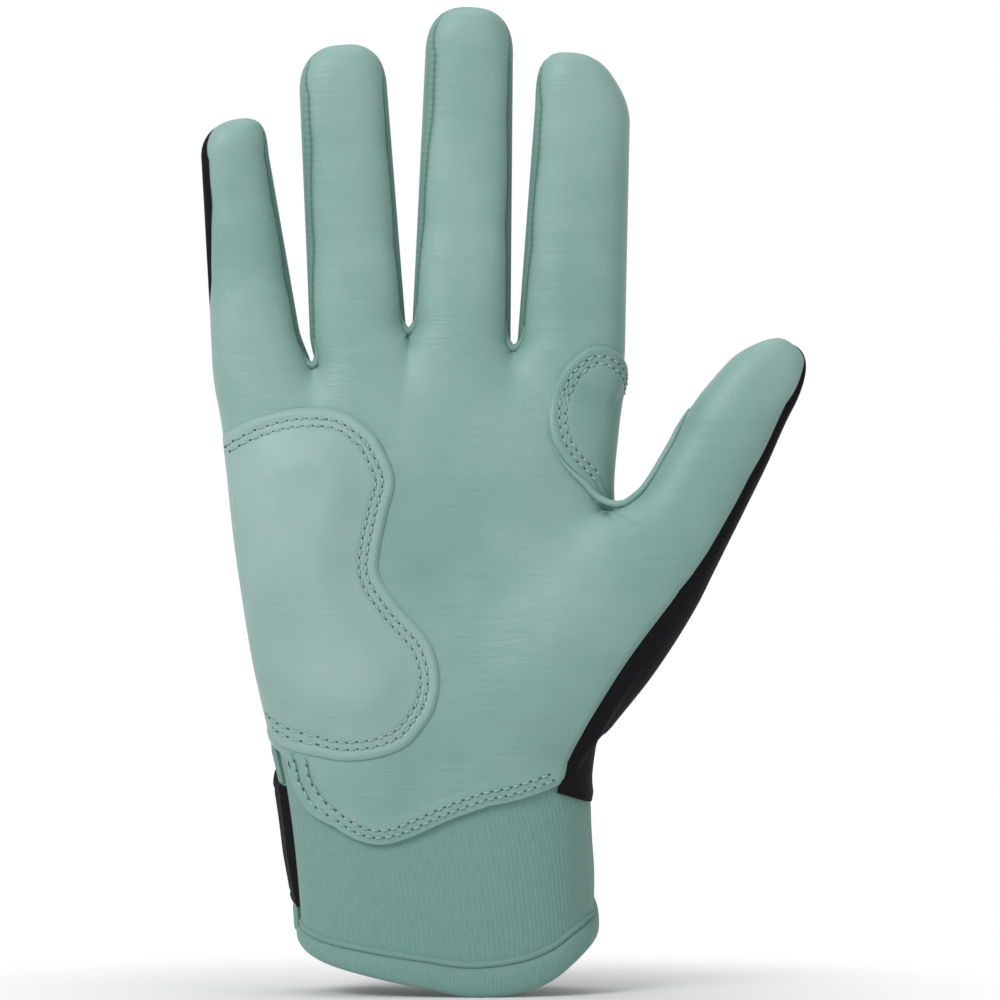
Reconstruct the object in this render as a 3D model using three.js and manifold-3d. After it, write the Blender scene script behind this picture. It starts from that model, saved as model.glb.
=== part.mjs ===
// A batting glove for the right hand, shown full as on a hand: leather palm, fingers with sewn-in
// side walls, a dark back, a knit cuff with a bound hem, and a wrist strap that peels open.
// Units are millimetres. +Z runs up the fingers, -Y is the palm side, +X is the thumb side.
// The origin is the centre of the wrist opening.

import * as THREE from 'three';
import { mergeVertices } from 'three/addons/utils/BufferGeometryUtils.js';
import Module from 'manifold-3d';

const wasm = await Module();
wasm.setup();

// Materials' thicknesses and the clearance between neighbouring pieces
const LEATHER = 0.9;
const KNIT = 1.1;
const FOAM = 1.6;
const STRAP = 1.2;
const FASTENER = 0.6;
const GAP = 0.3;

// Hand tube, from the hem to the knuckles. Widths are across the hand, depths from palm to back.
const HEM_WIDTH = 74;
const HEM_DEPTH = 46;
const HEM_TILT = 30;
const WRIST_HEIGHT = 39;
const WRIST_WIDTH = 77.5;
const WRIST_DEPTH = 41;
const WRIST_TILT = 14;
const HEEL_HEIGHT = 61;
const HEEL_WIDTH = 84;
const HEEL_DEPTH = 36;
const PALM_HEIGHT = 95;
const PALM_WIDTH = 92;
const PALM_DEPTH = 32;
const KNUCKLE_DEPTH = 27;
const KNUCKLE_HEIGHT = 125;
const WRIST_BEND = 9; // how far the hem's centre lies behind the palm's
const WRIST_SHIFT = -3.5; // centres towards the little finger, as the hand widens
const HEEL_SHIFT = -4;
const PALM_SHIFT = -5.7;
const PALM_SQUARENESS = 2.7;

// Fingers: widths at the knuckle and near the tip, length above the knuckle line, and lean to the
// thumb side in degrees. Crotches are the heights where neighbours part.
const FINGER_DEPTH = 20;
const FINGER_TIP_DEPTH = 16;
const FINGER_CURL = 6; // how far a tip bows to the palm side
const FINGER_SQUARENESS = 2.5;
const CROTCH_OVERLAP = 0.5; // neighbours run into each other this far below their crotch
const KNUCKLE_SHIFT = -6.9;
const KNUCKLE_DIVE = 1.5; // the hand's top runs this far inside the fingers
const ROOT_DIVE = 4; // a finger's root runs this far inside the hand
const LITTLE_CROTCH = 140.4;
const MIDDLE_CROTCH = 148.2;
const INDEX_CROTCH = 144.3;
const FINGERS = {
  little: { width: 24.6, tipWidth: 16.5, length: 61.2, lean: -7.2 },
  ring: { width: 22.9, tipWidth: 20.6, length: 75.1, lean: -3.6 },
  middle: { width: 25.9, tipWidth: 21.5, length: 82, lean: 1.7 },
  index: { width: 27.8, tipWidth: 23.2, length: 73.4, lean: 3.2 },
};

// Thumb, a tapering tube that starts inside the heel of the hand
const THUMB_ROOT_X = 22.3;
const THUMB_ROOT_Z = 59.3;
const THUMB_LEAN = 35.2;
const THUMB_LENGTH = 104;
const THUMB_BASE_WIDTH = 34;
const THUMB_WEB_WIDTH = 30;
const THUMB_WEB_AT = 51; // where the thumb leaves the palm, along its axis
const THUMB_WIDTH = 24;
const THUMB_TIP_WIDTH = 19;
const THUMB_SHIFT = 1.6; // how far its middle stands to the outer side of its axis
const THUMB_BASE_DEPTH = 30;
const THUMB_DEPTH = 21;
const THUMB_TIP_DEPTH = 16;
const THUMB_FORWARD = 7; // how far the tip stands to the palm side

// Folds: each digit bends about a line across it, this far beyond where it leaves the hand
const FINGER_FOLD_AT = 11;
const THUMB_FOLD_AT = 10;
const FOLD_RATIO = 1.4; // fold radius over the digit's half depth

// Seams
const FOURCHETTE = 9; // width of a finger's side wall
const SIDE_SEAM_Y = 3; // the palm leather wraps this far round the edge of the hand
const LITTLE_SEAM_Y = 2; // the back wraps this far to the palm side on the little finger
const THUMB_SEAM_TIP = 1.2; // back showing beside the thumb's palm side, at the tip
const THUMB_SEAM_BASE = 7.5; // the same at the thumb's base
const THUMB_SEAM_EASE = 0.7; // below one narrows sooner
const LAP = 7; // how far the knit runs under the leather
const V_POINT_X = -16.2;
const V_POINT_Z = 25;
const V_ULNAR_X = -40;
const V_ULNAR_Z = 47;
const V_RISE = 14; // how much further it climbs round the ulnar edge
const V_SAG = 4;
const V_MIDDLE_X = -2; // halfway up the radial arm
const V_RADIAL_X = 27.5;
const V_RADIAL_Z = 40;
const BACK_EDGE = 34; // the back panel's lower edge, at the sides

// Padded patch on the heel of the hand, and the patch in the thumb web
const PAD_TOP_Z = 130.4;
const PAD_BOTTOM_Z = 45;
const PAD_TOP_X = -13.3; // inner edge of the upper lobe
const PAD_WAIST_X = -18.5;
const PAD_WAIST_Z = 91;
const PAD_LOWER_X = -2; // inner edge of the lower lobe
const PAD_LOWER_Z = 65;
const PAD_ULNAR_X = -44; // where the lower edge goes round the ulnar edge
const PAD_CLIMB = 9; // how far the ends rise or fall on the ulnar edge
const PAD_ROUND = 16; // size of the lobes' rounding
const PAD_MARGIN = 3.2; // flat rim outside the foam
const PAD_CROWN = 13; // distance from the edge to the crown
const WEB_PATCH_X = 25.5; // the patch's edge on the palm
const WEB_PATCH_TOP_Z = 144.3;
const WEB_PATCH_BACK = 8; // how far it wraps to the back
const WEB_PATCH_ROUND = 7; // size of its corners' rounding
const WEB_PATCH_CLEAR = 3.6; // kept free round the digits that fold beside it

// Cuff, hem and strap
const HEM_HEIGHT = 8.5;
const HEM_PROUD = 1.1; // how far the rolled edge stands out
const HEM_FLOOR = 1.2;
const SLIT_X = 6; // the cuff's opening on the back
const SLIT_WIDTH = 5;
const STRAP_BOTTOM = 10.3; // along the ulnar edge
const STRAP_HEIGHT = 30;
const STRAP_END_X = 28;
const STRAP_CORNER = 7;
const STRAP_FORWARD = 1.2; // how far its root shows past the side seam
const STRAP_TILT = 22;
const FASTENER_MARGIN = 3;

// Facets
const HAND_SIDES = 28;
const DIGIT_SIDES = 16;
const FOLD_STEPS = 12;
const BOW_STEPS = 8;
const SEAM_STEPS = 9;
const V_STEPS = 14;
const WEB_STEPS = 20;
const CORNER_STEPS = 4;
const PAD_SIDES = 48;
const PAD_RINGS = 20;
const PAD_STEPS = 34;
const HEM_RINGS = 6;
const TIP_RINGS = 4;
const TIP_FLAT = 0.3; // the last ring's share left flat at a tip
const TIP_RADIUS = 0.58; // a tip's dome over its width
const TIP_BLUNTNESS = 0.6; // below one is blunter than round
const FAR = 300; // beyond every piece, for cutting tools
const SAME_POINT = 1e-4; // vertices nearer than this are one

const COLOURS = {
  leather: { color: 0x86ada4, roughness: 0.62, metalness: 0 },
  knit: { color: 0x74a296, roughness: 0.85, metalness: 0 },
  dark: { color: 0x131315, roughness: 0.75, metalness: 0 },
  foam: { color: 0xd8d6cc, roughness: 0.95, metalness: 0 },
};

const radians = THREE.MathUtils.degToRad;

// Pieces are drawn about the middle of the palm, then moved so that the wrist opening is the origin
const glove = new THREE.Group();
const drawn = new THREE.Group();
drawn.position.set(0, -WRIST_BEND, 0);
glove.add(drawn);

// Solids and meshes

function solidFrom(geometry) {
  const bare = geometry.clone();
  bare.deleteAttribute('normal');
  bare.deleteAttribute('uv');
  const merged = mergeVertices(bare, SAME_POINT);
  return new wasm.Manifold(
    new wasm.Mesh({
      numProp: 3,
      vertProperties: merged.attributes.position.array,
      triVerts: new Uint32Array(merged.index.array),
    }),
  );
}

function addPiece(name, solid, finish) {
  const mesh = solid.getMesh();
  const geometry = new THREE.BufferGeometry();
  geometry.setAttribute('position', new THREE.BufferAttribute(mesh.vertProperties, mesh.numProp));
  geometry.setIndex(new THREE.BufferAttribute(mesh.triVerts, 1));
  geometry.computeVertexNormals();
  const piece = new THREE.Mesh(geometry, new THREE.MeshStandardMaterial(COLOURS[finish]));
  piece.name = name;
  drawn.add(piece);
}

function unite(solids) {
  return solids.reduce((whole, solid) => whole.add(solid));
}

// A closed skin through rings of points, with a fan over each end
function loft(rings) {
  const sides = rings[0].length;
  const centre = (ring) => ring.reduce((sum, p) => sum.add(p), new THREE.Vector3()).divideScalar(sides);
  const points = [...rings.flat(), centre(rings[0]), centre(rings.at(-1))];
  const foot = rings.length * sides;
  const crown = foot + 1;
  const lastRing = foot - sides;
  const index = [];
  for (let k = 0; k < sides; k++) {
    const next = (k + 1) % sides;
    for (let r = 0; r < lastRing; r += sides) {
      index.push(r + k, r + next, r + sides + next);
      index.push(r + k, r + sides + next, r + sides + k);
    }
    index.push(foot, next, k);
    index.push(crown, lastRing + k, lastRing + next);
  }
  const geometry = new THREE.BufferGeometry().setFromPoints(points);
  geometry.setIndex(index);
  return solidFrom(geometry);
}

// Points of a superellipse, from its half sizes, as pairs across and deep
function superellipse(sides, squareness, halfWidth, halfDepth) {
  const bulge = (v) => Math.sign(v) * Math.abs(v) ** (2 / squareness);
  return Array.from({ length: sides }, (_, k) => {
    const angle = (2 * Math.PI * k) / sides;
    return [halfWidth * bulge(Math.cos(angle)), halfDepth * bulge(Math.sin(angle))];
  });
}

// Smooth values between named stations: stations is a list of [position, value, value, ...]
function between(stations) {
  const positions = stations.map((s) => s[0]);
  const values = stations.flatMap((s) => s.slice(1));
  const track = new THREE.CubicInterpolant(positions, values, stations[0].length - 1);
  return (at) => [...track.evaluate(at)];
}

// A prism along the depth, from an outline in the palm's plane given as pairs of x and z
function depthPrism(outline, fromY, toY) {
  const shape = new THREE.Shape(outline.map(([x, z]) => new THREE.Vector2(x, z)));
  const geometry = new THREE.ExtrudeGeometry(shape, { depth: toY - fromY, bevelEnabled: false });
  geometry.rotateX(Math.PI / 2);
  geometry.translate(0, toY, 0);
  return solidFrom(geometry);
}

// All points on one side of a plane through a point, on the side its normal points to
function halfSpace(point, normal) {
  const geometry = new THREE.BoxGeometry(2 * FAR, 2 * FAR, FAR);
  geometry.translate(0, 0, FAR / 2);
  const up = new THREE.Vector3(0, 0, 1);
  geometry.applyQuaternion(new THREE.Quaternion().setFromUnitVectors(up, normal.clone().normalize()));
  geometry.translate(point.x, point.y, point.z);
  return solidFrom(geometry);
}

const acrossBelow = (x) => halfSpace(new THREE.Vector3(x, 0, 0), new THREE.Vector3(-1, 0, 0));
const acrossAbove = (x) => halfSpace(new THREE.Vector3(x, 0, 0), new THREE.Vector3(1, 0, 0));

// A smooth open line through pairs of x and z, as more pairs
function smoothLine(pairs, steps) {
  const line = new THREE.SplineCurve(pairs.map(([x, z]) => new THREE.Vector2(x, z)));
  return line.getPoints(steps).map((p) => [p.x, p.y]);
}

// Hand tube

const fingerNames = Object.keys(FINGERS);
const knuckleWidth = fingerNames.reduce((sum, name) => sum + FINGERS[name].width, 0);
const knuckleLeft = KNUCKLE_SHIFT - knuckleWidth / 2;
const knuckleTop = Math.min(LITTLE_CROTCH, MIDDLE_CROTCH, INDEX_CROTCH);
const belowHem = -HEM_DEPTH;

const hemSlope = Math.tan(radians(HEM_TILT));
const wristSlope = Math.tan(radians(WRIST_TILT));
const wristDeep = WRIST_BEND / 4; // the wrist lies a quarter of the way back

// Stations: height, centre across, half width, half depth, centre depth, slope of the section
const handTrack = between([
  [belowHem, 0, HEM_WIDTH / 2, HEM_DEPTH / 2, 2 * WRIST_BEND, hemSlope],
  [0, 0, HEM_WIDTH / 2, HEM_DEPTH / 2, WRIST_BEND, hemSlope],
  [WRIST_HEIGHT, WRIST_SHIFT, WRIST_WIDTH / 2, WRIST_DEPTH / 2, wristDeep, wristSlope],
  [HEEL_HEIGHT, HEEL_SHIFT, HEEL_WIDTH / 2, HEEL_DEPTH / 2, 0, 0],
  [PALM_HEIGHT, PALM_SHIFT, PALM_WIDTH / 2, PALM_DEPTH / 2, 0, 0],
  [KNUCKLE_HEIGHT, KNUCKLE_SHIFT, (PALM_WIDTH + knuckleWidth) / 4, KNUCKLE_DEPTH / 2, 0, 0],
  [knuckleTop, KNUCKLE_SHIFT, knuckleWidth / 2 - KNUCKLE_DIVE, FINGER_DEPTH / 2 - KNUCKLE_DIVE, 0, 0],
]);

// One ring of the hand, grown outward by an offset that may vary: offsetAt(point, height)
function handSection(height, sides, offsetAt) {
  const [across, halfWidth, halfDepth, deep, slope] = handTrack(height);
  const place = ([x, y]) => new THREE.Vector3(across + x, deep + y, height + slope * y);
  const outline = superellipse(sides, PALM_SQUARENESS, halfWidth, halfDepth);
  return outline.map((pair, k) => {
    const offset = offsetAt(place(pair), height);
    return place(superellipse(sides, PALM_SQUARENESS, halfWidth + offset, halfDepth + offset)[k]);
  });
}

const handHeights = [
  belowHem, 0, WRIST_HEIGHT / 2, WRIST_HEIGHT, (WRIST_HEIGHT + HEEL_HEIGHT) / 2, HEEL_HEIGHT,
  (HEEL_HEIGHT + PALM_HEIGHT) / 2, PALM_HEIGHT, (PALM_HEIGHT + KNUCKLE_HEIGHT) / 2,
  KNUCKLE_HEIGHT, (KNUCKLE_HEIGHT + knuckleTop) / 2, knuckleTop,
];

function handTube(offset) {
  const rings = handHeights.map((height) => handSection(height, HAND_SIDES, () => offset));
  rings.at(-1).forEach((point) => (point.z += offset));
  return loft(rings);
}

// The same with an offset that varies, on rings from one height to another
function shapedTube(from, to, steps, sides, offsetAt) {
  const heights = Array.from({ length: steps + 1 }, (_, k) => THREE.MathUtils.lerp(from, to, k / steps));
  return loft(heights.map((height) => handSection(height, sides, offsetAt)));
}

// Digits

// A digit's own frame: along it, across it to the thumb side, and deep
function digitFrame(rootX, rootZ, lean) {
  const along = new THREE.Vector3(Math.sin(radians(lean)), 0, Math.cos(radians(lean)));
  const across = new THREE.Vector3(along.z, 0, -along.x);
  const root = new THREE.Vector3(rootX, 0, rootZ);
  const place = (s, l, y) =>
    root.clone().addScaledVector(along, s).addScaledVector(across, l).add(new THREE.Vector3(0, y, 0));
  return { along, across, root, place };
}

// A tube with a domed tip: size(s) gives the reach to each side and the half depth along the digit,
// and bow(s) the middle's depth
function digitTube(digit, offset) {
  const tipStart = digit.length - digit.tipRadius;
  const step = Math.PI / 2 / (TIP_RINGS + TIP_FLAT);
  const dome = Array.from({ length: TIP_RINGS }, (_, k) => (k + 1) * step);
  const stages = [
    ...digit.stations.map((s) => ({ s, at: s, shrink: 1 })),
    ...dome.map((angle) => ({
      s: tipStart + (digit.tipRadius + offset) * Math.sin(angle),
      at: tipStart,
      shrink: Math.cos(angle) ** TIP_BLUNTNESS,
    })),
  ];
  const rings = stages.map(({ s, at, shrink }) => {
    const [ulnar, radial, halfDepth] = digit.size(at);
    const middle = (radial - ulnar) / 2;
    const halfWidth = ((radial + ulnar) / 2 + offset) * shrink;
    const outline = superellipse(DIGIT_SIDES, FINGER_SQUARENESS, halfWidth, (halfDepth + offset) * shrink);
    return outline.map(([l, y]) => digit.frame.place(s, middle + l, digit.bow(s) + y));
  });
  return loft(rings);
}

// A finger tapers on each side from the crotch on that side to its tip
function makeFinger(name, left, ulnarCrotch, radialCrotch) {
  const { width, tipWidth, length, lean } = FINGERS[name];
  const rootZ = (ulnarCrotch + radialCrotch) / 2;
  const inside = -width; // the tube starts inside the palm
  const tipRadius = TIP_RADIUS * tipWidth;
  const tipStart = length - tipRadius;
  const part = Math.abs(ulnarCrotch - radialCrotch) / 2;
  const middle = length / 2;
  const reach = (s, crotch) => {
    const from = crotch - rootZ;
    const taper = THREE.MathUtils.clamp((s - from) / (tipStart - from), 0, 1);
    const dive = s === inside ? ROOT_DIVE : 0;
    return THREE.MathUtils.lerp(width, tipWidth, taper) / 2 + (s <= from ? CROTCH_OVERLAP : 0) - dive;
  };
  const halfDepth = (s) => {
    const taper = THREE.MathUtils.clamp(s / tipStart, 0, 1);
    const dive = s === inside ? ROOT_DIVE : 0;
    return THREE.MathUtils.lerp(FINGER_DEPTH, FINGER_TIP_DEPTH, taper) / 2 - dive;
  };
  return {
    frame: digitFrame(left + width / 2, rootZ, lean),
    size: (s) => [reach(s, ulnarCrotch), reach(s, radialCrotch), halfDepth(s)],
    stations: [inside, -part, part + CROTCH_OVERLAP, middle / 2, middle, (middle + tipStart) / 2, tipStart],
    length,
    tipRadius,
    foldAt: FINGER_FOLD_AT,
    foldRadius: (FOLD_RATIO * FINGER_DEPTH) / 2,
    bow: (s) => -FINGER_CURL * (Math.max(s, 0) / length) ** 2,
  };
}

function makeThumb() {
  const tipRadius = TIP_RADIUS * THUMB_TIP_WIDTH;
  const tipStart = THUMB_LENGTH - tipRadius;
  const web = THUMB_WEB_AT;
  const mid = (web + tipStart) / 2;
  const track = between([
    [0, THUMB_BASE_WIDTH / 2, THUMB_BASE_DEPTH / 2, THUMB_SHIFT],
    [web / 2, THUMB_BASE_WIDTH / 2, THUMB_BASE_DEPTH / 2, THUMB_SHIFT],
    [web, THUMB_WEB_WIDTH / 2, (THUMB_BASE_DEPTH + THUMB_DEPTH) / 4, THUMB_SHIFT],
    [mid, THUMB_WIDTH / 2, THUMB_DEPTH / 2, THUMB_SHIFT],
    [tipStart, THUMB_TIP_WIDTH / 2, THUMB_TIP_DEPTH / 2, 0],
  ]);
  const size = (s) => {
    const [halfWidth, halfDepth, shift] = track(Math.min(s, tipStart));
    return [halfWidth - shift, halfWidth + shift, halfDepth];
  };
  return {
    frame: digitFrame(THUMB_ROOT_X, THUMB_ROOT_Z, THUMB_LEAN),
    size,
    stations: [0, web / 2, web, (web + mid) / 2, mid, (mid + tipStart) / 2, tipStart],
    length: THUMB_LENGTH,
    tipRadius,
    foldAt: web + THUMB_FOLD_AT,
    foldRadius: (FOLD_RATIO * THUMB_DEPTH) / 2,
    bow: (s) => (-THUMB_FORWARD * s) / THUMB_LENGTH,
  };
}

const crotches = [LITTLE_CROTCH, MIDDLE_CROTCH, INDEX_CROTCH];
let knuckleEdge = knuckleLeft;
const digits = {};
fingerNames.forEach((name, k) => {
  const ulnarCrotch = crotches[k - 1] ?? crotches[k];
  const radialCrotch = crotches[k] ?? crotches[k - 1];
  digits[name] = makeFinger(name, knuckleEdge, ulnarCrotch, radialCrotch);
  knuckleEdge += FINGERS[name].width;
});
digits.thumb = makeThumb();

// A prism across a digit, from an outline of pairs along and deep in the digit's own frame
function digitPrism(digit, outline, fromAcross, toAcross) {
  const shape = new THREE.Shape(outline.map(([s, y]) => new THREE.Vector2(s, y)));
  const geometry = new THREE.ExtrudeGeometry(shape, { depth: toAcross - fromAcross, bevelEnabled: false });
  const { along, across, root } = digit.frame;
  const deep = new THREE.Vector3(0, 1, 0);
  const basis = new THREE.Matrix4().makeBasis(along, deep, across.clone().negate());
  geometry.translate(0, 0, -toAcross);
  geometry.applyMatrix4(basis.setPosition(root));
  return solidFrom(geometry);
}

// What lies beyond a digit's fold: everything past a cylinder about the fold line
function beyondFold(digit, radius) {
  const deep = digit.bow(digit.foldAt);
  const arc = Array.from({ length: FOLD_STEPS + 1 }, (_, k) => {
    const angle = Math.PI / 2 - (Math.PI * k) / FOLD_STEPS;
    return [digit.foldAt + radius * Math.cos(angle), deep + radius * Math.sin(angle)];
  });
  const outline = [[digit.foldAt, -FAR], [FAR, -FAR], [FAR, FAR], [digit.foldAt, FAR], ...arc];
  return digitPrism(digit, outline, -FAR, FAR);
}

// The part of a digit between two depths measured from its own bowed middle
function digitBand(digit, fromDeep, toDeep, fromAcross, toAcross) {
  const beyond = FAR / 10; // the band runs past both ends of the digit
  const middle = Array.from({ length: BOW_STEPS + 1 }, (_, k) => {
    const s = THREE.MathUtils.lerp(-beyond, digit.length + beyond, k / BOW_STEPS);
    return [s, digit.bow(s)];
  });
  const lower = middle.map(([s, y]) => [s, y + fromDeep]);
  const upper = middle.map(([s, y]) => [s, y + toDeep]).reverse();
  return digitPrism(digit, [...lower, ...upper], fromAcross, toAcross);
}

// Whole hand and its shell

function wholeHand(offset) {
  return unite([handTube(offset), ...Object.values(digits).map((digit) => digitTube(digit, offset))]);
}

const pastFold = (digit) => digitTube(digit, 2 * GAP).intersect(beyondFold(digit, digit.foldRadius));
const movingDigits = unite(Object.values(digits).map(pastFold));
const handShell = wholeHand(0).subtract(wholeHand(-LEATHER)).subtract(movingDigits);

// Palm leather: everything inside its outline as seen from the palm side

// The seam beside the thumb runs in from the thumb's outer edge, further at the base than at the tip
function thumbSeam(extra) {
  const { frame, size, length } = digits.thumb;
  return Array.from({ length: SEAM_STEPS + 1 }, (_, k) => {
    const part = k / SEAM_STEPS;
    const inset = THREE.MathUtils.lerp(THUMB_SEAM_BASE, THUMB_SEAM_TIP, part ** THUMB_SEAM_EASE);
    const point = frame.place(part * length, size(part * length)[1] - inset + extra, 0);
    return [point.x, point.z];
  });
}

const vLine = smoothLine(
  [
    [knuckleLeft, V_ULNAR_Z + V_RISE],
    [V_ULNAR_X, V_ULNAR_Z],
    [(V_POINT_X + V_ULNAR_X) / 2, (V_POINT_Z + V_ULNAR_Z) / 2 - V_SAG],
    [V_POINT_X, V_POINT_Z],
    [V_MIDDLE_X, (V_POINT_Z + V_RADIAL_Z) / 2],
    [V_RADIAL_X, V_RADIAL_Z],
  ],
  V_STEPS,
);

function palmOutline(extra) {
  return [
    ...vLine.map(([x, z]) => [x, z - extra]),
    ...thumbSeam(extra),
    [FAR, FAR],
    [-FAR, FAR],
    [-FAR, V_ULNAR_Z + V_RISE - extra],
  ];
}

// On the thumb's outer side the back reaches forward to the seam
const thumbOuterBack = (extra) => digitBand(digits.thumb, extra, FAR, extra, FAR);
const palmSide = depthPrism(palmOutline(0), -FAR, SIDE_SEAM_Y).subtract(thumbOuterBack(0));
const palmSideWide = depthPrism(palmOutline(GAP), -FAR, SIDE_SEAM_Y + GAP).subtract(thumbOuterBack(GAP));

// Saddles: the side walls' lower ends, one in each gap between fingers
const saddleNames = ['little_ring', 'ring_middle', 'middle_index'];
const saddleZone = (k, grow) => {
  const [ulnar, radial] = [digits[fingerNames[k]], digits[fingerNames[k + 1]]];
  const foot = Math.min(ulnar.frame.root.z, radial.frame.root.z) - FINGER_DEPTH;
  const halfDepth = FOURCHETTE / 2 + grow;
  const geometry = new THREE.BoxGeometry(radial.frame.root.x - ulnar.frame.root.x, 2 * halfDepth, FAR);
  geometry.translate((radial.frame.root.x + ulnar.frame.root.x) / 2, 0, foot + FAR / 2);
  return solidFrom(geometry);
};
const saddleZones = saddleNames.map((_, k) => saddleZone(k, GAP));
saddleNames.forEach((name, k) => {
  addPiece(`fourchette_saddle_${name}`, handShell.intersect(saddleZone(k, 0)), 'leather');
});

const withoutSaddles = saddleZones.reduce((rest, zone) => rest.subtract(zone), handShell);
addPiece('palm_leather', withoutSaddles.intersect(palmSide), 'leather');

// Back of the hand, down to its lower edge above the strap
function tiltedPlane(height, up) {
  const [, , , deep] = handTrack(height);
  const slope = Math.tan(radians(STRAP_TILT));
  const normal = new THREE.Vector3(0, -slope, 1).multiplyScalar(up ? 1 : -1);
  return halfSpace(new THREE.Vector3(0, deep, height), normal);
}

const strapTop = STRAP_BOTTOM + STRAP_HEIGHT;
const cuffWindow = depthPrism(
  [
    ...vLine,
    [V_RADIAL_X + GAP, V_RADIAL_Z],
    [V_RADIAL_X + GAP, -FAR],
    [-FAR, -FAR],
    [-FAR, V_ULNAR_Z + V_RISE],
  ],
  -FAR,
  SIDE_SEAM_Y + GAP,
);
const backShell = withoutSaddles.subtract(palmSideWide).subtract(cuffWindow);
addPiece('back_panel', backShell.intersect(tiltedPlane(BACK_EDGE, true)), 'dark');

// Fingers: palm side, side walls and back

const halfFourchette = FOURCHETTE / 2;
for (const name of fingerNames) {
  const digit = digits[name];
  const tube = digitTube(digit, 0).subtract(digitTube(digit, -LEATHER));
  const stall = tube.intersect(beyondFold(digit, digit.foldRadius + GAP));
  const first = name === fingerNames[0];
  const last = name === fingerNames.at(-1);
  let palmRegion = digitBand(digit, -FAR, -halfFourchette - GAP, -FAR, FAR);
  let backRegion = digitBand(digit, halfFourchette + GAP, FAR, -FAR, FAR);
  if (last) palmRegion = palmRegion.add(digitBand(digit, -FAR, SIDE_SEAM_Y, GAP, FAR));
  if (last) backRegion = backRegion.add(digitBand(digit, SIDE_SEAM_Y + GAP, FAR, GAP, FAR));
  if (first) backRegion = backRegion.add(digitBand(digit, -LITTLE_SEAM_Y, FAR, -FAR, -GAP));
  if (first) palmRegion = palmRegion.add(digitBand(digit, -FAR, -LITTLE_SEAM_Y - GAP, -FAR, -GAP));
  addPiece(`${name}_palm_side`, stall.intersect(palmRegion), 'leather');
  addPiece(`${name}_back`, stall.intersect(backRegion), 'dark');
  const ulnarWall = digitBand(digit, -halfFourchette, halfFourchette, -FAR, -GAP / 2);
  const radialWall = digitBand(digit, -halfFourchette, halfFourchette, GAP / 2, FAR);
  if (!first) addPiece(`${name}_fourchette_ulnar`, stall.intersect(ulnarWall), 'leather');
  if (!last) addPiece(`${name}_fourchette_radial`, stall.intersect(radialWall), 'leather');
}

// Thumb: palm side and back

const thumbTube = digitTube(digits.thumb, 0).subtract(digitTube(digits.thumb, -LEATHER));
const thumbStall = thumbTube.intersect(beyondFold(digits.thumb, digits.thumb.foldRadius + GAP));
const thumbRegion = (extra) =>
  depthPrism(palmOutline(extra), -FAR, FAR)
    .intersect(digitBand(digits.thumb, -FAR, SIDE_SEAM_Y + extra, -FAR, FAR))
    .subtract(thumbOuterBack(extra));
addPiece('thumb_palm_side', thumbStall.intersect(thumbRegion(0)), 'leather');
addPiece('thumb_back', thumbStall.subtract(thumbRegion(GAP)), 'dark');

// Padded patch on the heel of the hand: a foam core under a leather cover with a flat rim

const padEdge = smoothLine(
  [
    [knuckleLeft, PAD_BOTTOM_Z + PAD_CLIMB],
    [PAD_ULNAR_X, PAD_BOTTOM_Z + PAD_CLIMB / 3],
    [(PAD_ULNAR_X + PAD_LOWER_X) / 2, PAD_BOTTOM_Z],
    [PAD_LOWER_X - PAD_ROUND / 2, PAD_BOTTOM_Z + PAD_ROUND / 2],
    [PAD_LOWER_X, PAD_LOWER_Z],
    [(PAD_LOWER_X + PAD_WAIST_X) / 2, (PAD_LOWER_Z + PAD_WAIST_Z) / 2 + PAD_ROUND / 8],
    [PAD_WAIST_X, PAD_WAIST_Z],
    [PAD_TOP_X, (PAD_WAIST_Z + PAD_TOP_Z) / 2 + PAD_ROUND / 4],
    [PAD_TOP_X - PAD_ROUND / 2, PAD_TOP_Z - PAD_ROUND / 4],
    [(knuckleLeft + PAD_TOP_X) / 2, PAD_TOP_Z],
    [knuckleLeft, PAD_TOP_Z - PAD_CLIMB],
  ],
  PAD_STEPS,
);

// The patch swells from its sewn edge to a crown
function padSwell(point) {
  const reach = Math.min(...padEdge.map(([x, z]) => Math.hypot(point.x - x, point.z - z)));
  return THREE.MathUtils.smoothstep(reach, PAD_MARGIN / 2, PAD_CROWN);
}

// The patch's outline drawn in by an inset, along each edge point's own normal
function padOutline(inset) {
  const inner = padEdge.map(([x, z], k) => {
    const [before, after] = [padEdge[Math.max(k - 1, 0)], padEdge[Math.min(k + 1, padEdge.length - 1)]];
    const along = new THREE.Vector2(after[0] - before[0], after[1] - before[1]).normalize();
    return [x - along.y * inset, z + along.x * inset];
  });
  return [[-FAR, inner[0][1]], ...inner, [-FAR, inner.at(-1)[1]]];
}

function padTube(base, height) {
  const offsetAt = (point) => base + height * padSwell(point);
  return shapedTube(V_POINT_Z, KNUCKLE_HEIGHT + LAP, PAD_RINGS, PAD_SIDES, offsetAt);
}

const padZone = (inset) => depthPrism(padOutline(inset), -FAR, SIDE_SEAM_Y - GAP - inset);
const onLeather = wholeHand(GAP);
const foamPocket = padTube(2 * GAP, FOAM).intersect(padZone(PAD_MARGIN));
const cover = padTube(GAP + LEATHER, FOAM + GAP).subtract(onLeather).subtract(foamPocket);
const foam = padTube(GAP, FOAM).subtract(onLeather);
addPiece('heel_pad_cover', cover.intersect(padZone(0)), 'leather');
addPiece('heel_pad_foam', foam.intersect(padZone(PAD_MARGIN + GAP)), 'foam');

// Patch in the thumb web, folded from the palm round to the back

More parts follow.
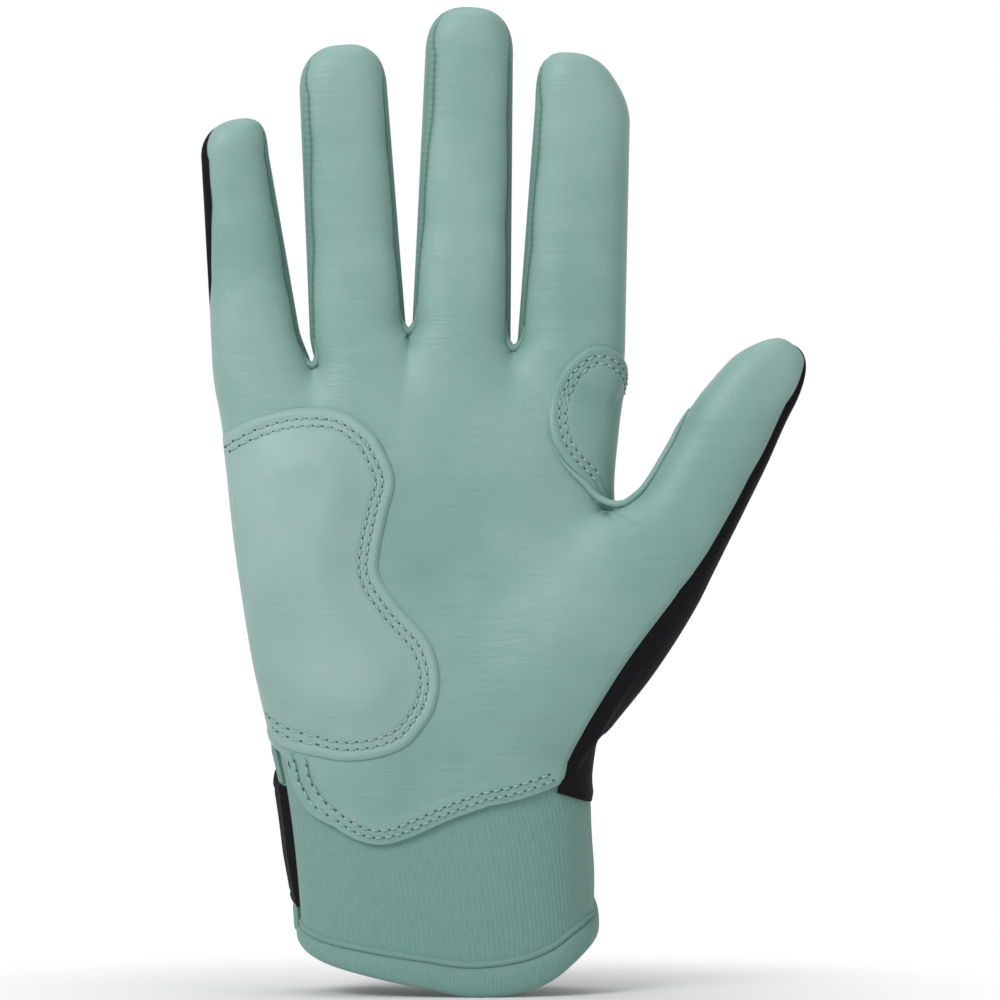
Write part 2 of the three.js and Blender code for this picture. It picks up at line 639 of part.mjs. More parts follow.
const webX = knuckleLeft + knuckleWidth;
const webCrotch = digits.thumb.frame.place(THUMB_WEB_AT, THUMB_SHIFT - THUMB_WEB_WIDTH / 2, 0);
const webEdge = smoothLine(
  [
    [webX + WEB_PATCH_ROUND, WEB_PATCH_TOP_Z - WEB_PATCH_ROUND / 2],
    [webX - WEB_PATCH_ROUND, WEB_PATCH_TOP_Z - WEB_PATCH_ROUND / 4],
    [WEB_PATCH_X + WEB_PATCH_ROUND / 2, WEB_PATCH_TOP_Z - 2 * WEB_PATCH_ROUND],
    [WEB_PATCH_X, (WEB_PATCH_TOP_Z + webCrotch.z) / 2],
    [WEB_PATCH_X + WEB_PATCH_ROUND / 3, webCrotch.z + WEB_PATCH_ROUND],
    [webCrotch.x - WEB_PATCH_ROUND / 4, webCrotch.z - WEB_PATCH_ROUND / 2],
    [webCrotch.x + WEB_PATCH_ROUND, webCrotch.z + WEB_PATCH_ROUND / 4],
  ],
  WEB_STEPS,
);
const webCorner = [webX + WEB_PATCH_ROUND, webCrotch.z + WEB_PATCH_ROUND];
const webZone = depthPrism([...webEdge, webCorner], -FAR, WEB_PATCH_BACK);
const webSkin = wholeHand(GAP + LEATHER).subtract(onLeather).intersect(webZone);
const pastFoldLine = (digit) => digitTube(digit, WEB_PATCH_CLEAR).intersect(beyondFold(digit, 0));
const webPatch = webSkin.subtract(pastFoldLine(digits.thumb)).subtract(pastFoldLine(digits.index));
addPiece('thumb_web_patch', webPatch, 'leather');

// Cuff: knit panels that run up under the leather, split at the back by the opening

// All that lies further up the hand than a height above the hem's lower edge
function aboveHem(height) {
  return halfSpace(new THREE.Vector3(0, WRIST_BEND, height), new THREE.Vector3(0, -hemSlope, 1));
}

const knitOut = -LEATHER - GAP;
const knitIn = knitOut - KNIT;
const knitTube = handTube(knitOut).subtract(handTube(knitIn)).intersect(aboveHem(HEM_FLOOR + GAP));
const cuffSplit = new THREE.Vector3(0, WRIST_BEND, 0);
const cuffFrontNormal = new THREE.Vector3(0, -WRIST_HEIGHT, wristDeep - WRIST_BEND);
const frontHalf = halfSpace(cuffSplit, cuffFrontNormal);
const cuffBackNormal = cuffFrontNormal.clone().negate();
const backHalf = halfSpace(cuffSplit.clone().add(new THREE.Vector3(0, GAP, 0)), cuffBackNormal);
const underPalm = depthPrism(
  [
    ...vLine.map(([x, z]) => [x, z + LAP]),
    [FAR, V_RADIAL_Z + LAP],
    [FAR, -FAR],
    [-FAR, -FAR],
    [-FAR, V_ULNAR_Z + V_RISE + LAP],
  ],
  -FAR,
  FAR,
);
addPiece('cuff_front', knitTube.intersect(frontHalf).intersect(underPalm), 'knit');

// The opening narrows towards the back panel
const slitZone = depthPrism(
  [
    [SLIT_X - SLIT_WIDTH / 2, -FAR],
    [SLIT_X + SLIT_WIDTH / 2, -FAR],
    [SLIT_X + SLIT_WIDTH / 2, STRAP_BOTTOM],
    [SLIT_X + SLIT_WIDTH / 4, FAR],
    [SLIT_X - SLIT_WIDTH / 4, FAR],
    [SLIT_X - SLIT_WIDTH / 2, STRAP_BOTTOM],
  ],
  0,
  FAR,
);
const underBack = tiltedPlane(BACK_EDGE + LAP, false);
const cuffBack = knitTube.intersect(backHalf).intersect(underBack).subtract(slitZone);
addPiece('cuff_back_ulnar', cuffBack.intersect(acrossBelow(SLIT_X)), 'knit');
addPiece('cuff_back_radial', cuffBack.intersect(acrossAbove(SLIT_X)), 'knit');

// Hem binding: a channel folded over the knit's lower edge, open at the slit
const hemRoll = (_, height) => {
  const part = THREE.MathUtils.clamp(height / HEM_HEIGHT, 0, 1);
  return knitOut + GAP + LEATHER + HEM_PROUD * Math.sin(Math.PI * part);
};
const hemRing = shapedTube(-HEM_HEIGHT, 2 * HEM_HEIGHT, 3 * HEM_RINGS, HAND_SIDES, hemRoll)
  .subtract(handTube(knitIn - GAP - LEATHER))
  .intersect(aboveHem(0))
  .subtract(aboveHem(HEM_HEIGHT))
  .subtract(slitZone);
const hemGroove = handTube(knitOut + GAP).subtract(handTube(knitIn - GAP));
addPiece('hem_binding', hemRing.subtract(hemGroove.intersect(aboveHem(HEM_FLOOR))), 'knit');

// Strap: hinged at the ulnar edge of the cuff, over the opening, held by hook and loop

// The strap starts a little to the palm side of the cuff's side seam
const strapRoot = halfSpace(cuffSplit.clone().sub(new THREE.Vector3(0, STRAP_FORWARD, 0)), cuffBackNormal);

function strapOutline(fromX, toX, low, high, corner) {
  const shape = new THREE.Shape();
  shape.moveTo(fromX, low);
  shape.lineTo(toX - corner, low);
  shape.absarc(toX - corner, low + corner, corner, -Math.PI / 2, 0);
  shape.lineTo(toX, high - corner);
  shape.absarc(toX - corner, high - corner, corner, 0, Math.PI / 2);
  shape.lineTo(fromX, high);
  const slope = Math.tan(radians(STRAP_TILT));
  const middle = handTrack((STRAP_BOTTOM + strapTop) / 2)[3];
  const options = { depth: FAR, bevelEnabled: false, curveSegments: CORNER_STEPS };
  const geometry = new THREE.ExtrudeGeometry(shape, options);
  geometry.rotateX(Math.PI / 2);
  geometry.translate(0, FAR, 0);
  geometry.applyMatrix4(new THREE.Matrix4().makeShear(0, 0, 0, slope, 0, 0));
  geometry.translate(0, 0, -slope * middle);
  return solidFrom(geometry).intersect(strapRoot);
}

const loopTop = knitOut + GAP + FASTENER;
const hookBottom = loopTop + GAP;
const hookTop = hookBottom + FASTENER;
const strapBottom = hookTop + GAP;
const strapTube = handTube(strapBottom + STRAP).subtract(handTube(strapBottom));
const strapZone = strapOutline(-FAR, STRAP_END_X, STRAP_BOTTOM, strapTop, STRAP_CORNER);
addPiece('wrist_strap', strapTube.intersect(strapZone), 'dark');

const fastenerZone = strapOutline(
  SLIT_X + SLIT_WIDTH,
  STRAP_END_X - FASTENER_MARGIN,
  STRAP_BOTTOM + FASTENER_MARGIN,
  BACK_EDGE - FASTENER_MARGIN,
  STRAP_CORNER - FASTENER_MARGIN,
);
const hookTube = handTube(hookTop).subtract(handTube(hookBottom));
const loopTube = handTube(loopTop).subtract(handTube(knitOut + GAP));
addPiece('strap_hook_patch', hookTube.intersect(fastenerZone), 'dark');
addPiece('cuff_loop_patch', loopTube.intersect(fastenerZone), 'dark');

export default glove;
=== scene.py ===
import bpy
import numpy as np
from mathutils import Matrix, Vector


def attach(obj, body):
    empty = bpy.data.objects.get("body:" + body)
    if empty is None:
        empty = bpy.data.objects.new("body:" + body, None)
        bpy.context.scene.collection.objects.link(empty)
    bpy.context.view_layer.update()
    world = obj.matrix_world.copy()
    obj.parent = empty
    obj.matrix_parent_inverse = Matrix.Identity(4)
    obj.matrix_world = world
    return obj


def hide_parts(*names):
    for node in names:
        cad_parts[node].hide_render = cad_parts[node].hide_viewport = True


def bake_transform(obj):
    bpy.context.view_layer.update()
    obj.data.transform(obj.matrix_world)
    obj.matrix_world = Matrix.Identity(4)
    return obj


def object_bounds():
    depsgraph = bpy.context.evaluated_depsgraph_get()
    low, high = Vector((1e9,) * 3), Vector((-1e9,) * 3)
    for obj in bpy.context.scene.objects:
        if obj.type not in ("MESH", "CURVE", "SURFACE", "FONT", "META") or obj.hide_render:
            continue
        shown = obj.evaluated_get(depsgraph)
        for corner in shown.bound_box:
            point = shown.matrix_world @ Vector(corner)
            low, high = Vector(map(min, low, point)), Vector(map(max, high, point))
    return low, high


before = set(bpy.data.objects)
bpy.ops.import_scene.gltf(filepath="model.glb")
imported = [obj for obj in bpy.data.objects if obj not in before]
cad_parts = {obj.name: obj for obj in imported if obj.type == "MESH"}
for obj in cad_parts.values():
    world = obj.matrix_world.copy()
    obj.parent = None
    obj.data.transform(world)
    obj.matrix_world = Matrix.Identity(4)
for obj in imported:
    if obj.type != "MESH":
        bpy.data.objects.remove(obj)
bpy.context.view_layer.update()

# Finger fronts. Four tongues of thin smooth leather, one cut with the palm in the real glove and split
# here where the fingers bend. Each is sewn along both sides to a side wall or straight to the back.
# The seams are turned inwards, so only a narrow groove shows.

WRIST_BEND = 9.0  # the hem's centre lies this far behind the palm's, in millimetres
LEATHER = 0.9

# Sections of the hand: height, centre across, half width, half depth, centre depth, slope
HAND = [
    (-46, 0, 37, 23, 18, 0.577),
    (0, 0, 37, 23, 9, 0.577),
    (39, -2.9, 37.9, 20.5, 2.25, 0.249),
    (61, -4, 42, 18, 0, 0),
    (95, -5.7, 46, 16, 0, 0),
    (112, -7.1, 46.6, 14.7, 0, 0),
    (125, -7.3, 47.9, 13.5, 0, 0),
    (140.4, -6.9, 49.1, 8.5, 0, 0),
]
HAND_POWER = 2.7
CROTCH_X = {"little_ring": -32.9, "ring_middle": -10.0, "middle_index": 15.9}
CROTCH_Z = {"little_ring": 140.4, "ring_middle": 148.2, "middle_index": 144.3}
CROTCH_LEAN = {"little_ring": -9.0, "ring_middle": 0.0, "middle_index": 1.0}  # lean of the gap, in degrees
HAND_TOP = [(-58, 139.4), (-32.9, 139.4), (-10, 147.2), (15.9, 143.3), (44, 142)]

# Fingers: place of the root, lean, length, crotch heights beside it, width, the tip's width, skew and
# slope, and for each side how much the root flares out and over what length the flare fades
FINGERS = {
    "little": dict(x=-46.3, z=140.4, lean=-6.3, length=60.8, crotch=(140.4, 140.4), width=22.6, tip=16.5,
                   skew=2.0, slope=0, flare=(0, 1.25), fade=(3, 9)),
    "ring": dict(x=-21.9, z=144.3, lean=-3.3, length=74.9, crotch=(140.4, 148.2), width=23.7, tip=21.4,
                 skew=0.6, slope=0, flare=(-1.2, 1), fade=(9, 3)),
    "middle": dict(x=3.1, z=146.25, lean=1.6, length=82.0, crotch=(148.2, 144.3), width=24.2, tip=21.4,
                   skew=0.0, slope=0, flare=(1, 1), fade=(3, 3)),
    "index": dict(x=29.9, z=144.3, lean=2.7, length=72.7, crotch=(144.3, 144.3), width=26.4, tip=23.2,
                  skew=-2.6, slope=2.4, flare=(1, 0), fade=(3, 3)),
}
FINGER_DEEP, FINGER_TIP_DEEP, FINGER_CURL, ROOT_FLARE = 10.0, 8.0, 6.0, 1.3
# Thumb: along it, reach to the inner side, reach to the outer side, half depth
THUMB = [
    (0, 14, 18, 15),
    (22, 15, 19, 15),
    (41, 13.8, 18.0, 13.8),
    (50, 12.0, 16.6, 12.8),
    (57, 10.0, 15.5, 11.9),
    (68, 10.3, 13.8, 10.8),
    (78, 11.3, 12.2, 9.9),
    (93.6, 10.2, 9.3, 8),
    (107, 7.8, 8.6, 7),
]
THUMB_X, THUMB_Z, THUMB_LEAN, THUMB_LENGTH, THUMB_FORWARD, THUMB_TIP = 22.3, 59.3, 35.2, 106.6, 7.0, 93.6
DIGIT_POWER = 2.5
# How far below its root, inside the hand, a digit's own form ends, and how softly
FINGER_ROOT, THUMB_ROOT = (12.0, 8.0), (1.0, 6.0)
TIP_ROUND, THUMB_BLUNT = 0.58, 0.8  # a fingertip's dome over its width, and how blunt the thumb's dome is
# Flexion creases: share of the way to the tip, sharpness, depth
FINGER_CREASES = ((0.42, 13, 0.45), (0.8, 14, 0.36))
THUMB_CREASES = ((74 / THUMB_TIP, THUMB_TIP / 5, 0.5),)
CREASE_FRONT = 6.0  # they are full this far in front of the digit's middle
HOLLOW_DEPTH, HOLLOW_AT, HOLLOW_WIDE, HOLLOW_FRONT = 2.2, (1, 92), (17, 24), 10.0  # the hollow of the palm
KNUCKLE_ROLL = 7.0
# Hollows where a digit leaves the hand: least reach, what the faces add, and between which depths
WEB_SOFT, CROTCH_SOFT = (1.5, 11, 6, 13), (1.5, 2.5, 3, 7)


def track(stations, at):
    """Values at positions between stations: a cubic between each pair, with the mean of the slopes on
    both sides of a station as its slope there, and level ends."""
    table = np.asarray(stations, float)
    place, value = table[:, 0], table[:, 1:]
    rise = np.diff(value, axis=0) / np.diff(place)[:, None]
    slope = np.zeros_like(value)
    slope[1:-1] = (rise[1:] + rise[:-1]) / 2
    at = np.clip(at, place[0], place[-1])
    k = np.clip(np.searchsorted(place, at, side="right") - 1, 0, len(place) - 2)
    span = (place[k + 1] - place[k])[..., None]
    p = (at - place[k])[..., None] / span
    return (
        (1 + 2 * p) * (1 - p) ** 2 * value[k] + p * (1 - p) ** 2 * span * slope[k]
        + p * p * (3 - 2 * p) * value[k + 1] + p * p * (p - 1) * span * slope[k + 1]
    )


def ease(low, high, at):
    """0 below low, 1 above high, and a smooth rise between."""
    p = np.clip((at - low) / (high - low), 0, 1)
    return p * p * (3 - 2 * p)


def outside(shares, sizes, power):
    """Distance outside a rounded form near its skin. The shares are coordinates over their half sizes,
    the form is where the sum of their powers is one, and the distance is over the form's own slope."""
    shares = [np.abs(s) + 1e-6 for s in shares]
    radius = sum(s**power for s in shares) ** (1 / power)
    slope = radius ** (1 - power) * np.sqrt(sum((s ** (power - 1) / h) ** 2 for s, h in zip(shares, sizes)))
    return (radius - 1) / slope


def merge(a, b, reach):
    """The smaller of two distances, rounded where they are within a reach of each other."""
    near = np.maximum(reach - np.abs(a - b), 0) / reach
    return np.minimum(a, b) - near * near * reach / 4


def digit_frame(name):
    """Root, direction along and direction across a digit."""
    d = dict(x=THUMB_X, z=THUMB_Z, lean=THUMB_LEAN) if name == "thumb" else FINGERS[name]
    lean = np.radians(d["lean"])
    along = np.array([np.sin(lean), 0, np.cos(lean)])
    return np.array([d["x"], 0, d["z"]]), along, np.array([along[2], 0, -along[0]])


def tip_start(name):
    """Where the dome of the tip starts, along the digit, and its height."""
    if name == "thumb":
        return THUMB_TIP, THUMB_LENGTH - THUMB_TIP
    dome = TIP_ROUND * FINGERS[name]["tip"]
    return FINGERS[name]["length"] - dome, dome


def digit_size(name, s):
    """Middle across, half width, half depth and middle depth of a digit at a place along it."""
    start, dome = tip_start(name)
    past = np.clip((s - start) / dome, 0, 1)
    if name == "thumb":
        inner, outer, deep = np.moveaxis(track(THUMB, s), -1, 0)
        return (outer - inner) / 2, (outer + inner) / 2, deep, -THUMB_FORWARD * s / THUMB_LENGTH
    f = FINGERS[name]
    reach = []
    for crotch, flare, fade in zip(f["crotch"], f["flare"], f["fade"]):
        base = crotch - f["z"]
        taper = np.clip((s - base) / (start - base), 0, 1)
        flare = ROOT_FLARE * flare * (1 - ease(base - 2, base + fade, s))
        reach.append((f["width"] + (f["tip"] - f["width"]) * taper) / 2 + flare)
    reach[1] = reach[1] - f["slope"] * ease(start - 3, start + 9, s)
    deep = FINGER_DEEP + (FINGER_TIP_DEEP - FINGER_DEEP) * np.clip(s / start, 0, 1)
    middle = (reach[1] - reach[0]) / 2 + f["skew"] * past**2
    return middle, (reach[0] + reach[1]) / 2, deep, -FINGER_CURL * (np.maximum(s, 0) / f["length"]) ** 2


def digit_distance(p, name):
    """Distance outside a digit: a tube of rounded sections with a domed tip, cut off below its root. Its
    palm side has shallow flexion creases, each a bell curve along the digit."""
    root, along, across = digit_frame(name)
    s, l, y = (p - root) @ along, (p - root) @ across, p[..., 1]
    start, dome = tip_start(name)
    middle, half, deep, bow = digit_size(name, s)
    thumb = name == "thumb"
    past = (np.maximum(s - start, 0) / dome) ** (THUMB_BLUNT if thumb else 1.0)
    skin = outside([(l - middle) / half, (y - bow) / deep, past], [half, deep, dome], DIGIT_POWER)
    creases = THUMB_CREASES if thumb else FINGER_CREASES
    crease = sum(depth * np.exp(-(((s / start - at) * sharp) ** 2)) for at, sharp, depth in creases)
    below, soft = THUMB_ROOT if thumb else FINGER_ROOT
    return -merge(-(skin + ease(0, CREASE_FRONT, bow - y) * crease), s + below, soft)


def hand_distance(p):
    """Distance outside the hand's tube: rounded sections stacked up the hand, tilted at the wrist, with
    the top rolled over at the line of the crotches and a shallow hollow in the palm."""
    x, y, z = np.moveaxis(p, -1, 0)
    height = z
    for _ in range(3):
        middle, half, deep, back, slope = np.moveaxis(track(HAND, height), -1, 0)
        height = z - slope * (y - back)
    aside, up = (x - HOLLOW_AT[0]) / HOLLOW_WIDE[0], (z - HOLLOW_AT[1]) / HOLLOW_WIDE[1]
    hollow = HOLLOW_DEPTH * np.exp(-(aside**2) - up**2) * ease(0, HOLLOW_FRONT, -y)
    skin = outside([(x - middle) / half, (y - back) / deep], [half, deep], HAND_POWER) + hollow
    return -merge(-skin, track(HAND_TOP, x)[..., 0] - z, KNUCKLE_ROLL)


def glove_distance(p, digits):
    """Distance outside the hand and the named digits, run together with soft hollows between them."""
    whole = hand_distance(p)
    fingers = [digit_distance(p, name) for name in digits if name != "thumb"]
    joins = [(digit_distance(p, "thumb"), WEB_SOFT)] if "thumb" in digits else []
    joins += [(np.minimum.reduce(fingers), CROTCH_SOFT)] if fingers else []
    for digit, (least, more, low, high) in joins:
        whole = merge(whole, digit, least + more * ease(low, high, np.abs(p[..., 1])))
    return whole


def unit(v):
    """Vectors over their own lengths."""
    return v / np.maximum(np.linalg.norm(v, axis=-1, keepdims=True), 1e-9)


RAY_REACH = 60.0  # no ray goes further than this
RAY_SHARE, RAY_SPAN, LEAST_RATE, MOST_STEP = 0.9, 0.05, 0.08, 2.0  # steps along a ray
PROBE = 0.15  # the form is probed this far to each side of a point for its normal


def cast(origin, direction, digits):
    """Points where rays from inside leave the glove's form: steps by the distance still to go, then by
    that distance over its rate of change along the ray."""
    direction = unit(direction)
    gap = lambda t: glove_distance(origin + t[..., None] * direction, digits)
    t = np.zeros(origin.shape[:-1])
    for _ in range(9):
        t = np.clip(t - RAY_SHARE * gap(t), 0, RAY_REACH)
    last, last_value = t + RAY_SPAN, gap(t + RAY_SPAN)
    for _ in range(6):
        value = gap(t)
        rate = np.where(np.abs(t - last) > 1e-7, (value - last_value) / np.where(t == last, 1, t - last), 1)
        step = np.clip(value / np.maximum(rate, LEAST_RATE), -MOST_STEP, MOST_STEP)
        last, last_value, t = t, value, np.clip(t - step, 0, RAY_REACH)
    return origin + t[..., None] * direction


def outward(p, digits):
    """Unit directions out of the glove's form, from the change of the distance about each point."""
    rise = [glove_distance(p + e, digits) - glove_distance(p - e, digits) for e in PROBE * np.eye(3)]
    return unit(np.stack(rise, axis=-1))


FINGER_NAMES = ("little", "ring", "middle", "index")
ALL = ("thumb",) + FINGER_NAMES
# Seams beside each front, ulnar side then radial side: place along the finger, depth towards the palm
FRONT_SEAM = {
    "little": ([(0, -2), (12, 0), (30, 4.5), (45, 5.5)], [(0, 3.8), (40, 3.6)]),
    "ring": ([(0, 4.2), (30, 5.2), (60, 5.5)], [(0, 3.6), (60, 3.4)]),
    "middle": ([(0, 3.4), (25, 4.2), (45, 5.2), (60, 5.7)], [(0, 4.2), (60, 3.6)]),
    "index": ([(0, 4.4), (60, 4.4)], [(0, -3), (60, -3)]),
}
FRONT_ROWS, TIP_ROWS, FRONT_COLUMNS = 64, 16, 41
SEAM_SINK, SEAM_ROLL = 0.7, 2.0  # how far an edge rolls in at a turned seam, and over what width
SEAM_REACH = 3.0  # the leather puckers this far from a seam, and in the nearest millimetre it is darkened as painted shade
CROTCH_Y = 4.5  # a crotch's two corners lie this far from the middle


def digit_axes(name):
    """A digit's directions across, deep and along, as rows."""
    along, across = digit_frame(name)[1:]
    return np.stack([across, np.array([0, 1.0, 0]), along])


def place(name, s, l, y):
    """Points from places along, across and deep in a digit's own frame."""
    return digit_frame(name)[0] + np.stack(np.broadcast_arrays(l, y, s), -1) @ digit_axes(name)


def side_angle(name, table, side, s):
    """Angle of a seam past the digit's side, in shares of its half width and half depth."""
    deep = digit_size(name, s)[2]
    t = np.clip(track(table[name][side], s)[..., 0] / deep, -0.97, 0.97)
    return np.arctan2(t, (1 - np.abs(t) ** DIGIT_POWER) ** (1 / DIGIT_POWER))


def coons(bottom, top, left, right):
    """A grid between four edges: the two ruled sheets added, less the sheet through the corners."""
    u = np.linspace(0, 1, len(bottom))[None, :, None]
    v = np.linspace(0, 1, len(left))[:, None, None]
    corners = (1 - v) * ((1 - u) * bottom[0] + u * bottom[-1]) + v * ((1 - u) * top[0] + u * top[-1])
    return (1 - v) * bottom + v * top + (1 - u) * left[:, None] + u * right[:, None] - corners


def tip_seam(name, table, face, psi):
    """Directions along a seam as it runs over the tip from side to side, in the digit's own frame. The
    seam's depth goes from its depth on one side to that on the other and is halved at the top."""
    start, dome = tip_start(name)
    half, deep = digit_size(name, start)[1:3]
    left, right = (np.tan(side_angle(name, table, side, start)) for side in (0, 1))
    rise = right + (left - right) * (1 - np.cos(psi)) / 2
    depth = face * deep * rise * (1 - 0.5 * np.sin(psi))
    return np.stack([half * np.cos(psi), depth, dome * np.sin(psi)], -1)


def digit_rays(name, table, face, base, rows, tip_rows, columns):
    """Rays that draw one face of a digit. Up to the tip they fan out from the digit's middle between the
    two seams. Over the tip they fill the patch between the last row and the seam that goes over it."""
    start = tip_start(name)[0]
    s = base + (start - base) * np.linspace(0, 1, rows)[:, None]
    middle, half, deep, bow = digit_size(name, s)
    left, right = np.pi - side_angle(name, table, 0, s), side_angle(name, table, 1, s)
    angle = left + (right - left) * np.linspace(0, 1, columns)
    local = np.stack([half * np.cos(angle), face * deep * np.sin(angle), np.zeros_like(angle)], -1)
    origin = place(name, s, middle, bow)
    top = np.linspace(0, 1, columns)
    lower = local[-1] / np.abs(np.cos(left[-1, 0] + (right[-1, -1] - left[-1, 0]) * np.round(top)))[:, None]
    side = np.linspace(0, np.pi / 3, tip_rows)
    upper = tip_seam(name, table, face, np.pi * (2 / 3 - top / 3))
    sides = tip_seam(name, table, face, np.pi - side), tip_seam(name, table, face, side)
    dome_local = coons(lower, upper, *sides)[1:]
    origin = np.concatenate([origin, np.broadcast_to(origin[-1], dome_local.shape)])
    return origin, np.concatenate([local, dome_local]) @ digit_axes(name)


LEFT, RIGHT, LOWER, UPPER = (1, False), (1, True), (0, False), (0, True)  # the edges of a grid


def from_edge(p, *edges):
    """Length along the grid to each point from the nearest of the named edges."""
    found = []
    for axis, last in edges:
        step = np.linalg.norm(np.diff(p, axis=axis), axis=-1)
        total = np.insert(np.cumsum(step, axis=axis), 0, 0, axis=axis)
        found.append(np.take(total, [-1], axis=axis) - total if last else total)
    return np.minimum.reduce(found)


def grid_normal(p):
    """Unit normals of a grid of points from the steps along its rows and columns."""
    return unit(np.cross(np.gradient(p, axis=1), np.gradient(p, axis=0)))


def lifted(p, normal, lift):
    """A grid moved along its normals, and the normals turned by as much as the move turns the grid."""
    moved = p + lift[..., None] * normal
    sense = np.sign(np.sum(grid_normal(p) * normal, axis=-1, keepdims=True))
    return moved, unit(normal + sense * (grid_normal(moved) - grid_normal(p)))


def rolled_in(d):
    """Depth by which a turned seam draws the leather in at a distance from it."""
    return SEAM_SINK * (1 - ease(0, SEAM_ROLL, d))


def to_part(p):
    """Drawn millimetres to the part's frame in metres."""
    return (p - np.array([0, WRIST_BEND, 0])) / 1000


def mesh_object(name, points, faces, loop_normals=None):
    """A mesh object from points, faces given as lists of equal-sided groups, and normals for each corner."""
    mesh = bpy.data.meshes.new(name)
    mesh.from_pydata(points.tolist(), [], [f for group in faces for f in group.tolist()])
    mesh.polygons.foreach_set("use_smooth", np.ones(len(mesh.polygons), bool))
    mesh.update()
    if loop_normals is not None:
        mesh.normals_split_custom_set(loop_normals.tolist())
    obj = bpy.data.objects.new(name, mesh)
    bpy.context.scene.collection.objects.link(obj)
    return obj


def shell(name, outer, normal, thick, seam=None):
    """A closed sheet: a grid, the same grid moved in by the thickness, and strips round the rim. Where
    the distance to a turned seam is given, each point keeps how near the seam is."""
    rows, columns = outer.shape[:2]
    count = rows * columns
    points = np.concatenate([outer.reshape(-1, 3), (outer - thick * normal).reshape(-1, 3)])
    index = np.arange(count).reshape(rows, columns)
    skin = np.stack([index[:-1, :-1], index[:-1, 1:], index[1:, 1:], index[1:, :-1]], -1).reshape(-1, 4)
    rim = np.concatenate([index[0, :-1], index[:-1, -1], index[-1, :0:-1], index[:0:-1, 0]])
    after = np.roll(rim, -1)
    strip = np.stack([after, rim, rim + count, after + count], -1)
    faces = np.concatenate([skin, skin[:, ::-1] + count, strip])
    flat = np.cross(points[skin[:, 2]] - points[skin[:, 0]], points[skin[:, 3]] - points[skin[:, 1]])
    if np.sum(flat * normal.reshape(-1, 3)[skin[:, 0]]) < 0:
        faces = faces[:, ::-1]
    smooth = np.concatenate([normal.reshape(-1, 3), -normal.reshape(-1, 3)])
    corner = smooth[faces]
    edge = faces[2 * len(skin):]
    square = np.cross(points[edge[:, 2]] - points[edge[:, 0]], points[edge[:, 3]] - points[edge[:, 1]])
    corner[2 * len(skin):] = unit(square)[:, None]
    obj = mesh_object(name, to_part(points), [faces], corner.reshape(-1, 3))
    if seam is not None:
        near = np.tile(np.clip(1 - seam / SEAM_REACH, 0, 1).ravel(), 2)
        obj.data.attributes.new("seam", "FLOAT", "POINT").data.foreach_set("value", near.astype(np.float32))
    return obj


def colour_of(red, green, blue):
    """Linear colour from the 0 to 255 values that a picture holds."""
    c = np.array([red, green, blue]) / 255
    return (*np.where(c <= 0.04045, c / 12.92, ((c + 0.055) / 1.055) ** 2.4), 1.0)


def node_maker(tree):
    """Two functions for a tree of nodes. One feeds a node's inputs, in their order or by name, with values
    or with other nodes' outputs. The other adds a node, sets and feeds it, and returns one output."""

    def feed(node, *terms, **named):
        for key, value in (*enumerate(terms), *named.items()):
            socket = node.inputs[key.replace("_", " ") if isinstance(key, str) else key]
            if isinstance(value, bpy.types.NodeSocket):
                tree.links.new(value, socket)
            else:
                socket.default_value = value

    def add(kind, *terms, out=0, **settings):
        node = tree.nodes.new("ShaderNode" + kind)
        for key in [k for k in settings if hasattr(node, k)]:
            setattr(node, key, settings.pop(key))
        feed(node, *terms, **settings)
        return node.outputs[out]

    return add, feed


def new_material(name):
    """A new material, its shader, and the two functions for its nodes."""
    material = bpy.data.materials.new(name)
    material.use_nodes = True
    return material, material.node_tree.nodes["Principled BSDF"], *node_maker(material.node_tree)


def leather(name, light, dark, wrinkle):
    """Smooth thin leather: a fine grain, fine creases across the length, a slow drift of tone, and near a
    turned seam small puckers and painted shade along its groove."""
    material, shader, add, feed = new_material(name)
    spot = add("TexCoord", out="Object")
    broad = add("Mapping", Vector=spot, Scale=(60, 60, 330))
    crease = add("TexNoise", Vector=broad, Scale=1.0, Detail=3.0, Roughness=0.5, Distortion=0.6)
    thin = add("Mapping", Vector=spot, Scale=(110, 110, 1100))
    lines = add("TexNoise", Vector=thin, Scale=1.0, Detail=2.0, Roughness=0.6, Distortion=0.4)
    patches = add("TexNoise", Vector=spot, Scale=45.0, Detail=1.0)
    where = add("MapRange", Value=patches, From_Min=0.45, From_Max=0.65)
    fine_lines = add("Math", lines, where, operation="MULTIPLY")
    seam = add("Attribute", attribute_name="seam", out="Fac")
    waves = dict(Scale=185.0, bands_direction="Z", Distortion=1.2, Detail=1.0)
    gather = add("TexWave", Vector=spot, **waves, out="Fac")
    pucker = add("Math", gather, seam, operation="MULTIPLY")
    # Painted shade: in the last millimetre before a turned seam the colour darkens towards a third of the
    # dark tone, for the shade in the seam's groove.
    shade = add("MapRange", Value=seam, From_Min=0.72, From_Max=0.98, To_Min=0.0, To_Max=0.62)
    grain = add("TexVoronoi", Vector=spot, Scale=1500.0)
    drift = add("TexNoise", Vector=spot, Scale=28.0, Detail=3.0, Roughness=0.55)
    spread = add("MapRange", Value=drift, From_Min=0.3, From_Max=0.7)
    tone = add("MixRGB", spread, dark, light)
    groove = add("MixRGB", shade, tone, tuple(0.3 * c for c in dark[:3]) + (1.0,))
    fine = add("Bump", Height=grain, Strength=0.12, Distance=0.0002)
    folds = add("Bump", Height=crease, Normal=fine, Strength=wrinkle, Distance=0.0008)
    scored = add("Bump", Height=fine_lines, Normal=folds, Strength=2 * wrinkle, Distance=0.0004)
    gathered = add("Bump", Height=pucker, Normal=scored, Strength=0.3, Distance=0.0005)
    feed(shader, Base_Color=groove, Normal=gathered)
    feed(shader, Roughness=0.48, Specular_IOR_Level=0.42, Sheen_Weight=0.08)
    return material


